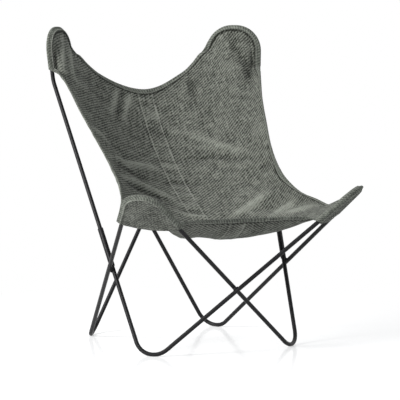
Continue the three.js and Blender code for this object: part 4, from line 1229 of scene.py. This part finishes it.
def fan_mesh(points, closed=True):
    """Vertices and faces of a grid whose last ring is one point."""
    rays, rings = points.shape[:2]
    inner = points[:, :-1].reshape(-1, 3)
    faces = []
    j = np.arange(rings - 2)
    for i in range(rays if closed else rays - 1):
        a, b = i * (rings - 1), (i + 1) % rays * (rings - 1)
        faces += np.stack([a + j, b + j, b + j + 1, a + j + 1], axis=1).tolist()
        faces.append([a + rings - 2, b + rings - 2, rays * (rings - 1)])
    return np.concatenate([inner, points[:1, -1]]), faces


def fan_values(values):
    """Values of a grid in the order of the vertices of its fan mesh."""
    flat = values[:, :-1].reshape(-1, *values.shape[2:])
    return np.concatenate([flat, values[:1, -1]])


def area_of(verts, faces):
    """Area of a mesh, each face taken as a fan of triangles."""
    area = 0.0
    for face in faces:
        sides = verts[face[1:]] - verts[face[0]]
        area += np.linalg.norm(np.cross(sides[:-1], sides[1:]), axis=1).sum() / 2
    return area


# The pattern is laid flat from every so many rays and rings.
THINNED = (4, 3)


def unwrapped(points, closed=True):
    """Lay a grid of cloth flat: threads' coordinates in metres for every point."""
    rays = np.arange(0, len(points), THINNED[0])
    if not closed and rays[-1] != len(points) - 1:
        rays = np.append(rays, len(points) - 1)
    rings = np.append(np.arange(0, points.shape[1] - 1, THINNED[1]), points.shape[1] - 1)
    verts, faces = fan_mesh(points[np.ix_(rays, rings)], closed)
    mesh = bpy.data.meshes.new("pattern")
    mesh.from_pydata(verts.tolist(), [], faces)
    pattern = bpy.data.objects.new("pattern", mesh)
    bpy.context.collection.objects.link(pattern)
    bpy.context.view_layer.objects.active = pattern
    pattern.select_set(True)
    mesh.uv_layers.new(name="flat")
    bpy.ops.object.mode_set(mode="EDIT")
    bpy.ops.mesh.select_all(action="SELECT")
    bpy.ops.uv.unwrap(method="ANGLE_BASED", margin=0)
    bpy.ops.object.mode_set(mode="OBJECT")
    uv = np.empty(len(mesh.loops) * 2)
    mesh.uv_layers[0].data.foreach_get("uv", uv)
    index = np.empty(len(mesh.loops), dtype=np.int64)
    mesh.loops.foreach_get("vertex_index", index)
    flat = np.zeros((len(verts), 2))
    flat[index] = uv.reshape(-1, 2)
    bpy.data.objects.remove(pattern)
    bpy.data.meshes.remove(mesh)
    flat *= math.sqrt(area_of(verts, faces) / area_of(np.pad(flat, ((0, 0), (0, 1))), faces))
    grid = np.concatenate([flat[:-1].reshape(len(rays), len(rings) - 1, 2),
                           np.repeat(flat[-1:][None], len(rays), axis=0)], axis=1)
    wanted = np.arange(points.shape[1])
    fine = np.stack([resample(row, rings, wanted) for row in grid])
    if closed:
        rays, fine = np.append(rays, len(points)), np.concatenate([fine, fine[:1]])
    wanted = np.arange(len(points))
    return np.stack([resample(fine[:, j], rays, wanted) for j in range(points.shape[1])], axis=1)


def aligned(flat, start, end):
    """Turn flat coordinates so that the line from start to end runs along the warp."""
    way = unit(end - start)
    across = vec(way[1], -way[0])
    return np.stack([(flat - start) @ across, (flat - start) @ way], axis=-1)


def thicken(piece, thickness):
    """Give a sheet its two faces, half the thickness off on either side."""
    solid = piece.modifiers.new("thickness", "SOLIDIFY")
    solid.thickness = thickness
    solid.offset = 0
    solid.use_even_offset = False
    bpy.context.view_layer.objects.active = piece
    bpy.ops.object.modifier_apply(modifier=solid.name)


def cut_between(piece, low, high):
    """Keep what lies between two upright planes across the chair."""
    work = bmesh.new()
    work.from_mesh(piece.data)
    for x, way in ((low, -1), (high, 1)):
        if x is None:
            continue
        everything = [*work.verts, *work.edges, *work.faces]
        bmesh.ops.bisect_plane(work, geom=everything, dist=1e-7, plane_co=(x, 0, 0),
                               plane_no=(way, 0, 0), clear_outer=True)
    work.to_mesh(piece.data)
    work.free()
    piece.data.shade_smooth()


# Sewing.


# A stitch from end to end: place along it, width, and height of its middle over the cloth. Places
# are shares of its length, the others of half the thread.
STITCH = ((-0.5, 0.12, -0.8), (-0.36, 0.8, 0.05), (-0.12, 1.0, 0.45),
          (0.12, 1.0, 0.45), (0.36, 0.8, 0.05), (0.5, 0.12, -0.8))
STITCH_SIDES = 6
# How far ahead and behind the way of a stitch is read, in pitches, its random lean, in shares of
# the way along, and its random length.
STITCH_LOOK, STITCH_LEAN, STITCH_LENGTHS = 0.3, 0.12, (0.9, 1.08)


def stitches(points, normals, pitch, size, thread, seed):
    """Thread stitches laid along a line on the cloth: small rounded bars, each a little off."""
    run = lengths_of(points)
    count = int(run[-1] / pitch)
    places = (np.arange(count) + 0.5) * pitch
    random = np.random.default_rng(seed)
    middle = resample(points, run, places)
    up = unit(resample(normals, run, places))
    ahead, behind = (resample(points, run, places + step * pitch)
                     for step in (STITCH_LOOK, -STITCH_LOOK))
    way = unit(ahead - behind)
    side = unit(np.cross(up, way))
    way = unit(way + side * random.uniform(-STITCH_LEAN, STITCH_LEAN, count)[:, None])
    side = unit(np.cross(up, way))
    stretch = random.uniform(*STITCH_LENGTHS, count)[:, None, None]
    stations, fat, rise = np.array(STITCH).T
    fat, rise = fat * thread / 2, rise * thread / 2
    turn = np.linspace(0, 2 * math.pi, STITCH_SIDES, endpoint=False)
    along = np.repeat(stations, STITCH_SIDES) * size
    aside = (fat[:, None] * np.cos(turn)).ravel()
    above = (fat[:, None] * np.sin(turn) + rise[:, None]).ravel()
    verts = (middle[:, None] + way[:, None] * along[None, :, None] * stretch
             + side[:, None] * aside[None, :, None] + up[:, None] * above[None, :, None])
    faces = tube_faces(len(STITCH), STITCH_SIDES)
    return verts.reshape(-1, 3), [[v + s * len(along) for v in face]
                                  for s in range(count) for face in faces]


def joined(parts):
    """One mesh from several."""
    verts, faces, base = [], [], 0
    for points, more in parts:
        verts.append(points)
        faces += [[v + base for v in face] for face in more]
        base += len(points)
    return np.concatenate(verts), faces


# Binding tape: rounding of its edges, height at the edge as a share of its thickness, share of
# the ease under it, angles round the rim in degrees, how far it reaches out there outside and
# inside, as shares of the height, and width of the weave from one point to the next.
TAPE_EDGE, TAPE_EDGE_SHARE, TAPE_EASE_SHARE = 1.2 * MM, 0.25, 0.4
TAPE_ANGLES, TAPE_NOSE, TAPE_HOLLOW, TAPE_STEP = (66, 40, 14, -14, -40, -66), 0.85, 0.7, 1.6 * MM


def tape_mesh(upper, lower, gap, thickness, ease, width):
    """Folded tape round a rim. upper and lower are (points, normals, inside) of both faces."""
    offsets, outer, inner = [], [], []
    for points, normals, inside in (upper, lower):
        edge = np.clip((inside - (width - TAPE_EDGE)) / TAPE_EDGE, 0, 1)
        crown = ease + thickness * (TAPE_EDGE_SHARE + (1 - TAPE_EDGE_SHARE)
                                    * np.sqrt(np.clip(1 - edge ** 2, 0, 1)))
        outer.append(points + normals * (gap + crown)[..., None])
        inner.append(points + normals * (gap + ease * TAPE_EASE_SHARE))
        offsets.append(gap + crown[:, 0])
    rim_up, rim_down = upper[0][:, 0], lower[0][:, 0]
    out = unit(rim_up - upper[0][:, 3])
    rim = (rim_up + rim_down) / 2
    axis = unit(upper[1][:, 0] - lower[1][:, 0])
    radius = np.linalg.norm(rim_up - rim_down, axis=1) / 2 + (offsets[0] + offsets[1]) / 2

    def bow(radius, reach):
        return np.stack([rim + axis * (radius * math.sin(angle))[:, None]
                         + out * (radius * reach * math.cos(angle))[:, None]
                         for angle in np.radians(TAPE_ANGLES)], axis=1)

    loop = np.concatenate([outer[0][:, ::-1], bow(radius, TAPE_NOSE), outer[1],
                           inner[1][:, ::-1], bow(radius - thickness, TAPE_HOLLOW)[:, ::-1],
                           inner[0]], axis=1)
    rays, size = loop.shape[:2]
    flat = np.zeros_like(loop)
    flat[..., 0] = np.arange(size) * TAPE_STEP
    flat[..., 1] = lengths_of(rim)[:, None]
    return loop.reshape(-1, 3), tube_faces(rays, size, inward=True), flat.reshape(-1, 3)


# Rings under the binding, and the ring where it is sewn.
TAPE_RINGS, SEWN_RING = 10, 6


def tape_faces(first, last, patch):
    """Both faces under the tape from one ray to another: the canvas, and below it the same
    canvas or a pocket's outer patch."""
    s = sling()
    index = np.arange(first, last + 1) % len(s.points)
    upper = [grid[index, :TAPE_RINGS] for grid in (s.points, s.normals, s.inside)]
    if patch is None:
        return upper, (upper[0], -upper[1], upper[2])
    return upper, [patch[key][:, :TAPE_RINGS] for key in ("points", "normals", "inside")]


# Operators, one for each group of pieces.


class SLING_OT_rods(bpy.types.Operator):
    """Bend the two base rods and the two ear arches"""
    bl_idname = "sling_chair.rods"
    bl_label = "Rods"

    def execute(self, context):
        f, s = chair().frame, sling()
        for k, side in enumerate(("left", "right")):
            for name, path, node in (("base", s.paths[2 * k], f"base_rod_{side}"),
                                     ("arch", s.paths[2 * k + 1], f"ear_arch_{side}")):
                points, faces = sweep(path, f.rod / 2, ROD_SIDES)
                points[:, 2] = np.maximum(points[:, 2], 0)
                piece = new_piece(f"rod_{name}_{side}", points, faces, finishes()["powder_coat"],
                                  sharp=50)
                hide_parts(node)
        return {"FINISHED"}


class SLING_OT_sleeves(bpy.types.Operator):
    """Turn the sleeves that hold the ear arches"""
    bl_idname = "sling_chair.sleeves"
    bl_label = "Sleeves"

    def execute(self, context):
        f, s = chair().frame, sling()
        bore = f.rod / 2 + f.clearance
        outer, edge, end = bore + f.sleeve_wall, f.sleeve_edge, f.sleeve_length
        lip = [(bore + edge * 0.4, 0), (outer - edge, 0), (outer - edge * 0.3, edge * 0.3),
               (outer, edge)]
        profile = [*lip, *((outer, end * part) for part in (0.25, 0.5, 0.75)),
                   *((radius, end - height) for radius, height in lip[::-1]),
                   (bore, end - edge * 0.5), (bore, edge * 0.5)]
        for side in ("left", "right"):
            for place in ("side", "back"):
                start = centred(s.laps[side][place])
                points, faces = lathe(profile, start, s.laps[side][place + "_up"],
                                      SLEEVE_SIDES)
                piece = new_piece(f"sleeve_{place}_{side}", points, faces,
                                  finishes()["powder_coat"], sharp=35)
                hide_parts(f"{place}_socket_{side}")
        return {"FINISHED"}


# Weld beads: steps along one and points round it, how often and how much it swells, and how round
# its ends are. Then shares of the weld's reach: half the bead's length, its place beside the lap
# and half its width; and of the weld's height: half the bead's height.
BEAD_STEPS, BEAD_SIDES, BEAD_SWELLS, BEAD_SWELL, BEAD_END = 40, 18, 2.5, 0.10, 0.002
BEAD_LENGTH, BEAD_ASIDE, BEAD_WIDTH, BEAD_HEIGHT = 0.95, 0.33, 0.42, 0.82


class SLING_OT_welds(bpy.types.Operator):
    """Lay the weld beads where the rods lap"""
    bl_idname = "sling_chair.welds"
    bl_label = "Welds"

    def execute(self, context):
        f, s = chair().frame, sling()
        left, right = s.rods["left"], s.rods["right"]
        legs = {
            "front_weld": (left["foot"], left["peak"], right["foot"], right["peak"]),
            "back_weld": (left["back"], left["ear"], right["back"], right["ear"]),
            "side_weld_left": (left["foot"], left["ear"], right["back"], right["peak"]),
            "side_weld_right": (right["foot"], right["ear"], left["back"], left["peak"]),
        }
        for node, (a, b, c, d) in legs.items():
            first = leg_point(a, b, nearest_along(a, b, c, d))
            second = leg_point(c, d, nearest_along(c, d, a, b))
            across = unit(second - first)
            split = unit(unit(b - a) + unit(d - c))
            other = np.cross(across, split)
            middle = centred((first + second) / 2)
            points, faces = joined([self.bead(middle, split, other, across, f, way)
                                    for way in (1, -1)])
            piece = new_piece("bead_" + node.replace("_weld", ""), points, faces,
                              finishes()["coated_weld"])
            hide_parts(node)
        return {"FINISHED"}

    @staticmethod
    def bead(middle, split, other, across, f, way):
        """A row of overlapping drops of weld metal down one side of the lap."""
        place = np.linspace(-1, 1, BEAD_STEPS)
        swell = 1 + BEAD_SWELL * np.abs(np.sin(place * math.pi * BEAD_SWELLS))
        sizes = np.sqrt(np.clip(1 - place ** 2, BEAD_END, 1)) * swell
        path = (middle + split[None] * place[:, None] * f.weld_reach * BEAD_LENGTH
                + other * way * f.weld_reach * BEAD_ASIDE)
        turn = np.linspace(0, 2 * math.pi, BEAD_SIDES, endpoint=False)[:, None]
        rings = [point + np.cos(turn) * other * f.weld_reach * BEAD_WIDTH * size
                 + np.sin(turn) * across * f.weld_height * BEAD_HEIGHT * size
                 for point, size in zip(path, sizes)]
        return np.concatenate(rings), tube_faces(BEAD_STEPS, BEAD_SIDES)


# Fading and painted light and shade of the canvas. Creases count by how rubbed they are: hollows
# are painted darker, as painted shade, and ridges lighter, as rubbing and painted highlight, each
# with a factor. Soft lines are given by place, half width and amount: along the binding, by the
# distance from the rim, a painted shadow; and along the band, by the distance from its edge, a
# rubbed light line on the edge and a painted shadow beside it; both in millimetres.
HOLLOW_SHADE, RIDGE_RUB_AND_HIGHLIGHT = 0.30, 0.56
RIM_SHADOW_LINES = ((15.5, 3.2, -0.60),)
BAND_WEAR_AND_SHADOW_LINES = ((-1.5, 2.2, 0.44), (3, 3, -0.22))
# Tone of the patches: noise as cell, height and seed, what is added everywhere, which makes them
# darker, and one line, which is lighter.
# Fading of the binding is a noise alone.
PATCH_NOISE, PATCH_DARKER, PATCH_LINES = ((20, 0.05, 31),), -0.09, ((20, 9, 0.05),)
BINDING_NOISE = ((12, 0.10, 37),)


def lines_of(away, lines):
    """Sum of soft lines, from rows of place, half width and amount."""
    return sum(amount * soft_line(away, place, half) for place, half, amount in lines)


def woven(flat, fade_and_shade):
    """The attributes that the cloth's finish reads, for the points of a fan mesh."""
    weave = np.pad(flat, ((0, 0), (0, 0), (0, 1)))
    return {"weave": fan_values(weave), "fade_and_shade": fan_values(fade_and_shade)}


def weave_of(s):
    """Flat coordinates and fading of the sling, with its painted shade and highlight, at every
    point of its grid.
    """
    flat = unwrapped(s.points)
    x = s.points[:, 0, 0]
    ends = []
    for edge in ("front", "top"):
        rays = np.arange(*s.outline.edge_spans[edge]) % len(x)
        ends.append(flat[rays[np.abs(x[rays]).argmin()], 0])
    # Crease and pucker ridges are lighter, as rubbing and painted highlight; their hollows darker,
    # as painted shade.
    rubbed_and_shaded = s.rubbed_and_shaded * np.where(s.rubbed_and_shaded < 0, HOLLOW_SHADE, RIDGE_RUB_AND_HIGHLIGHT)
    beside = np.abs(s.points[..., 0]) - chair().canvas.band / 2
    # Painted shade in crease hollows, painted shadow along the binding and beside the band,
    # rubbing with painted highlight on ridges, and a rubbed light line on the band's edge.
    fade_and_shade = rubbed_and_shaded + lines_of(s.inside, RIM_SHADOW_LINES) + lines_of(beside, BAND_WEAR_AND_SHADOW_LINES)
    return woven(aligned(flat, *ends), fade_and_shade)


# How much thicker the doubled band is than one cloth.
BAND_DOUBLED = 0.7 * MM


class SLING_OT_canvas(bpy.types.Operator):
    """Hang the two canvas panels and the doubled band between them"""
    bl_idname = "sling_chair.canvas"
    bl_label = "Canvas"

    def execute(self, context):
        s, c, f = sling(), chair().canvas, chair().frame
        weave = weave_of(s)
        centre = f.centring[0]
        half = c.band / 2
        verts, faces = fan_mesh(s.points)
        lifted = fan_mesh(s.points + s.normals * BAND_DOUBLED / 2)[0]
        rows = (
            ("panel_left", "sling_panel_left", None, centre - half - f.clearance, verts, 0),
            ("panel_right", "sling_panel_right", centre + half + f.clearance, None, verts, 0),
            ("seam_band", "centre_seam_strip", centre - half, centre + half, lifted,
             BAND_DOUBLED),
        )
        for name, node, low, high, points, more in rows:
            piece = new_piece(name, points, faces, finishes()["washed_canvas"], weave)
            cut_between(piece, low, high)
            thicken(piece, c.cloth + more)
            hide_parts(node)
            s.pieces[name] = piece
        return {"FINISHED"}


class SLING_OT_pockets(bpy.types.Operator):
    """Sew the outer patches of the four corner pockets"""
    bl_idname = "sling_chair.pockets"
    bl_label = "Pockets"

    def execute(self, context):
        s, c = sling(), chair().canvas
        for name, patch in s.patches.items():
            points = patch["points"]
            flat = unwrapped(points, closed=False)
            middle = len(points) // 2
            flat = aligned(flat, flat[middle, -1], flat[middle, 0])
            fade_and_shade = (uneven(points, PATCH_NOISE) + PATCH_DARKER
                    + lines_of(patch["inside"], PATCH_LINES))
            verts, faces = fan_mesh(points, closed=False)
            piece = new_piece(f"patch_{name}", verts, faces, finishes()["washed_canvas"],
                              woven(flat, fade_and_shade))
            thicken(piece, c.cloth)
            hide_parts(f"pocket_{name}")
            s.pieces[f"patch_{name}"] = piece
        return {"FINISHED"}


class SLING_OT_binding(bpy.types.Operator):
    """Fold the binding tape over every edge"""
    bl_idname = "sling_chair.binding"
    bl_label = "Binding"

    def execute(self, context):
        s, c = sling(), chair().canvas
        for node, span in s.taped().items():
            points, faces, flat = tape_mesh(*tape_faces(*span), c.cloth / 2, c.tape,
                                            c.tape_ease / 2, c.tape_width)
            piece = new_piece(node.replace("_tape", "_binding"), points, faces,
                              finishes()["binding_tape"],
                              {"weave": flat, "fade_and_shade": uneven(points, BINDING_NOISE)}, sharp=60)
            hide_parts(node)
            s.pieces[piece.name] = piece
        return {"FINISHED"}


# Sewing: how far the rows lie from the band's edge and from a hem, how much longer the band's
# stitches are, and, for its rows above and below, the first seed and how high they lie on it.
# Then the first seeds of the rows along the binding and along the hems.
BAND_INSET, HEM_INSET, BAND_PITCH, BAND_STITCH = 3 * MM, 9 * MM, 1.15, 1.2
BAND_ROWS = ((1, 7, 0.72 * MM), (-1, 17, 0.02 * MM))
RIM_SEED, HEM_SEED = 100, 57


class SLING_OT_stitching(bpy.types.Operator):
    """Sew the rows of stitches along the binding, the band and the pocket hems"""
    bl_idname = "sling_chair.stitching"
    bl_label = "Stitching"

    def execute(self, context):
        s, c = sling(), chair().canvas
        rows = {"binding": self.rim_rows(s, c), "band": self.band_rows(s, c),
                "pocket": self.pocket_rows(s, c)}
        for name, parts in rows.items():
            points, faces = joined(parts)
            piece = new_piece(f"stitches_{name}", points, faces, finishes()["sewing_thread"])
            s.pieces[piece.name] = piece
        return {"FINISHED"}

    @staticmethod
    def rim_rows(s, c):
        """Rows near the inner edge of the binding, above and below."""
        parts = []
        height = c.cloth / 2 + c.tape_ease / 2 + c.tape
        for k, span in enumerate(s.taped().values()):
            for face, (points, normals, _) in enumerate(tape_faces(*span)):
                up = normals[:, SEWN_RING]
                parts.append(stitches(points[:, SEWN_RING] + up * height, up, c.pitch, c.stitch,
                                      c.thread, RIM_SEED + 2 * k + face))
        return parts

    @staticmethod
    def band_rows(s, c):
        """One row beside each edge of the middle band, on the seat and underneath."""
        parts = []
        centre = chair().frame.centring[0]
        for k, x in enumerate((-1, 1)):
            line, normals = crossing_line(s, centre + x * (c.band / 2 - BAND_INSET))
            for way, seed, lift in BAND_ROWS:
                up = way * normals
                parts.append(stitches(line + up * (c.cloth / 2 + lift), up, c.pitch * BAND_PITCH,
                                      c.stitch * BAND_STITCH, c.thread, seed + 2 * k))
        return parts

    @staticmethod
    def pocket_rows(s, c):
        """A row along the hem of each outer patch."""
        parts = []
        for k, patch in enumerate(s.patches.values()):
            points, normals = patch["points"], patch["normals"]
            hub = points[0, -1]
            hem_way = unit(points[0, 0] - points[-1, 0])
            tip = points[len(points) // 2, 0]
            into = unit(tip - hub - ((tip - hub) @ hem_way) * hem_way)
            line, ups = [], []
            for ray, up in zip(points[1:-1], normals[1:-1]):
                depth = (ray - hub) @ into
                if depth[:TAPE_RINGS + 1].min() < HEM_INSET:
                    continue
                rings = np.arange(len(depth))
                place = [np.interp(HEM_INSET, depth[::-1], rings[::-1])]
                line.append(resample(ray, rings, place)[0])
                ups.append(resample(up, rings, place)[0])
            if len(line) > 3:
                line, ups = np.array(line), unit(np.array(ups))
                parts.append(stitches(line + ups * (c.cloth / 2), ups, c.pitch, c.stitch,
                                      c.thread, HEM_SEED + k))
        return parts


# Rays beyond both ends of an edge that are searched for a crossing, rings left out round the
# middle of the seat, and the least distance between two points of the line.
RAYS_BEYOND, RINGS_LEFT_OUT, LEAST_STEP = 30, 3, 0.5 * MM


def crossing_line(s, x):
    """The line on the sling at one distance from the middle, from the top edge to the front."""
    p, n = s.points, s.normals
    spans = s.outline.edge_spans
    rays = len(p)
    found = {"top": [], "front": []}
    for side in found:
        first, last = spans[side]
        index = np.arange(first - RAYS_BEYOND, last + RAYS_BEYOND) % rays
        for ring in range(TAPE_RINGS - 1, p.shape[1] - RINGS_LEFT_OUT):
            xs = p[index, ring, 0] - x
            hits = np.flatnonzero(xs[:-1] * xs[1:] < 0)
            if not len(hits):
                continue
            k = hits[np.abs(hits - len(index) / 2).argmin()]
            part = xs[k] / (xs[k] - xs[k + 1])
            a, b = index[k], index[k + 1]
            found[side].append((p[a, ring] * (1 - part) + p[b, ring] * part,
                                n[a, ring] * (1 - part) + n[b, ring] * part))
    points, normals = map(np.array, zip(*found["top"], *found["front"][::-1]))
    keep = np.append(True, np.linalg.norm(np.diff(points, axis=0), axis=1) > LEAST_STEP)
    return points[keep], unit(normals[keep])


class SLING_OT_cloth_facts(bpy.types.Operator):
    """Look up the sheets of cloth, without saying anything about them"""
    bl_idname = "sling_chair.cloth_facts"
    bl_label = "Cut sizes"

    def execute(self, context):
        pieces = sling().pieces
        return {"FINISHED"}


# The stage in metres: half the floor's side, lamps as name, place, size and watts, what they are
# aimed at, and the soft light of the studio.
FLOOR_HALF = 30.0
LAMPS = (("key", (-3.6, -0.7, 2.2), 1.1, 142), ("fill", (2.8, -2.6, 1.6), 2.2, 8),
         ("top", (0.3, 0.4, 3.4), 2.2, 18))
LAMP_TARGET = (0, 0, 0.45)
SOFT_COLOUR, SOFT_STRENGTH = (0.93, 0.96, 1.0), 0.30
# The photograph's camera: turn and lift in degrees, what it looks at and from how far, in metres,
# lens and sensor in millimetres, and how far it sees.
CAMERA_ANGLES = (-25.87, 5.01)
CAMERA_TARGET, CAMERA_DISTANCE = (0.0470, 0.06408, 0.41178), 7.5407
CAMERA_LENS, CAMERA_SENSOR, CAMERA_REACH = 231.0, 36.0, 100
# Width and height of the photograph in pixels.
PHOTO_SIDE = 400
# The floor fades into white between two distances from the middle. Nearer, it glows, shows some
# mirror image and has a roughness of some grain.
FLOOR_FADE, FLOOR_GLOW, FLOOR_MIRROR = (0.45, 1.3), 0.56, 0.20
FLOOR_GREY, FLOOR_GRAIN, FLOOR_ROUGH = 0.8, 40.0, (0.10, 0.16)


class SLING_OT_stage(bpy.types.Operator):
    """Set the pale floor, the soft light and the camera"""
    bl_idname = "sling_chair.stage"
    bl_label = "Stage"

    def execute(self, context):
        mesh = bpy.data.meshes.new("floor")
        corners = [(x * FLOOR_HALF, y * FLOOR_HALF, 0)
                   for x, y in ((-1, -1), (1, -1), (1, 1), (-1, 1))]
        mesh.from_pydata(corners, [], [(0, 1, 2, 3)])
        floor = bpy.data.objects.new("floor", mesh)
        bpy.context.collection.objects.link(floor)
        floor.data.materials.append(floor_material())
        scene = bpy.context.scene
        scene.world = studio_world()
        for name, place, size, power in LAMPS:
            light = bpy.data.lights.new(name, "AREA")
            light.size, light.energy = size, power
            aimed(name, light, place, Vector(LAMP_TARGET) - Vector(place))
        turn, lift = map(math.radians, CAMERA_ANGLES)
        away = Vector((math.sin(turn) * math.cos(lift), -math.cos(turn) * math.cos(lift),
                       math.sin(lift)))
        data = bpy.data.cameras.new("camera")
        data.lens, data.sensor_width = CAMERA_LENS, CAMERA_SENSOR
        data.clip_end = CAMERA_REACH
        scene.camera = aimed("camera", data, Vector(CAMERA_TARGET) + away * CAMERA_DISTANCE,
                             -away)
        scene.view_settings.view_transform = "Standard"
        return {"FINISHED"}


def aimed(name, data, place, way):
    """A lamp or a camera at a place, looking along a way."""
    thing = bpy.data.objects.new(name, data)
    thing.location = place
    thing.rotation_euler = way.to_track_quat("-Z", "Y").to_euler()
    bpy.context.collection.objects.link(thing)
    return thing


def studio_world():
    """White for all that is seen directly or mirrored, and a soft cool light on the rest."""
    n = Nodes(bpy.data.worlds.new("studio"))
    soft = n.add("Background", {"Color": (*SOFT_COLOUR, 1), "Strength": SOFT_STRENGTH})
    white = n.add("Background", {"Color": (1, 1, 1, 1), "Strength": 1.0})
    return n.finish(n.blend(n.seen(), soft, white), "OutputWorld")


def floor_material():
    """White floor: keeps soft shadows and a faint mirror image near the feet."""
    n = Nodes(bpy.data.materials.new("studio_floor"))
    place = n.add("TexCoord").outputs["Object"]
    away = n.add("VectorMath", {0: place}, operation="LENGTH").outputs["Value"]
    rough = n.spread(n.noise(place, FLOOR_GRAIN), *FLOOR_ROUGH)
    diffuse = n.add("BsdfDiffuse", {"Color": (FLOOR_GREY, FLOOR_GREY, FLOOR_GREY, 1)})
    glow, white = (n.add("Emission", {"Color": (1, 1, 1, 1), "Strength": strength})
                   for strength in (FLOOR_GLOW, 1.0))
    lit = n.add("AddShader", {0: diffuse.outputs[0], 1: glow.outputs[0]})
    mirror = n.add("BsdfGlossy", {"Color": (1, 1, 1, 1), "Roughness": rough})
    shown = n.blend(n.remap(away, *FLOOR_FADE), n.blend(FLOOR_MIRROR, lit, mirror), white)
    return n.finish(n.blend(n.seen(), diffuse, shown))


class SLING_PT_panel(bpy.types.Panel):
    """Sizes, colours and building steps of the chair"""
    bl_idname = "SLING_PT_panel"
    bl_label = "Sling chair"
    bl_space_type = "VIEW_3D"
    bl_region_type = "UI"
    bl_category = "Sling chair"

    def draw(self, context):
        for group in (chair().frame, chair().canvas, chair().finish):
            box = self.layout.box()
            for key in group.__annotations__:
                box.prop(group, key)
        for operator in OPERATORS:
            self.layout.operator(operator.bl_idname)


GROUPS = (FrameSizes, CanvasSizes, Finishes, SlingChair)
OPERATORS = (SLING_OT_rods, SLING_OT_sleeves, SLING_OT_welds, SLING_OT_canvas, SLING_OT_pockets,
             SLING_OT_binding, SLING_OT_stitching, SLING_OT_cloth_facts, SLING_OT_stage)


def register():
    for cls in (*GROUPS, *OPERATORS, SLING_PT_panel):
        bpy.utils.register_class(cls)
    bpy.types.Scene.sling_chair = PointerProperty(type=SlingChair, name="Sling chair",
                                                  description="Sizes and colours")


def unregister():
    del bpy.types.Scene.sling_chair
    for cls in reversed((*GROUPS, *OPERATORS, SLING_PT_panel)):
        bpy.utils.unregister_class(cls)


def main():
    register()
    for operator in OPERATORS:
        group, name = operator.bl_idname.split(".")
        getattr(getattr(bpy.ops, group), name)()


if __name__ == "__main__":
    main()
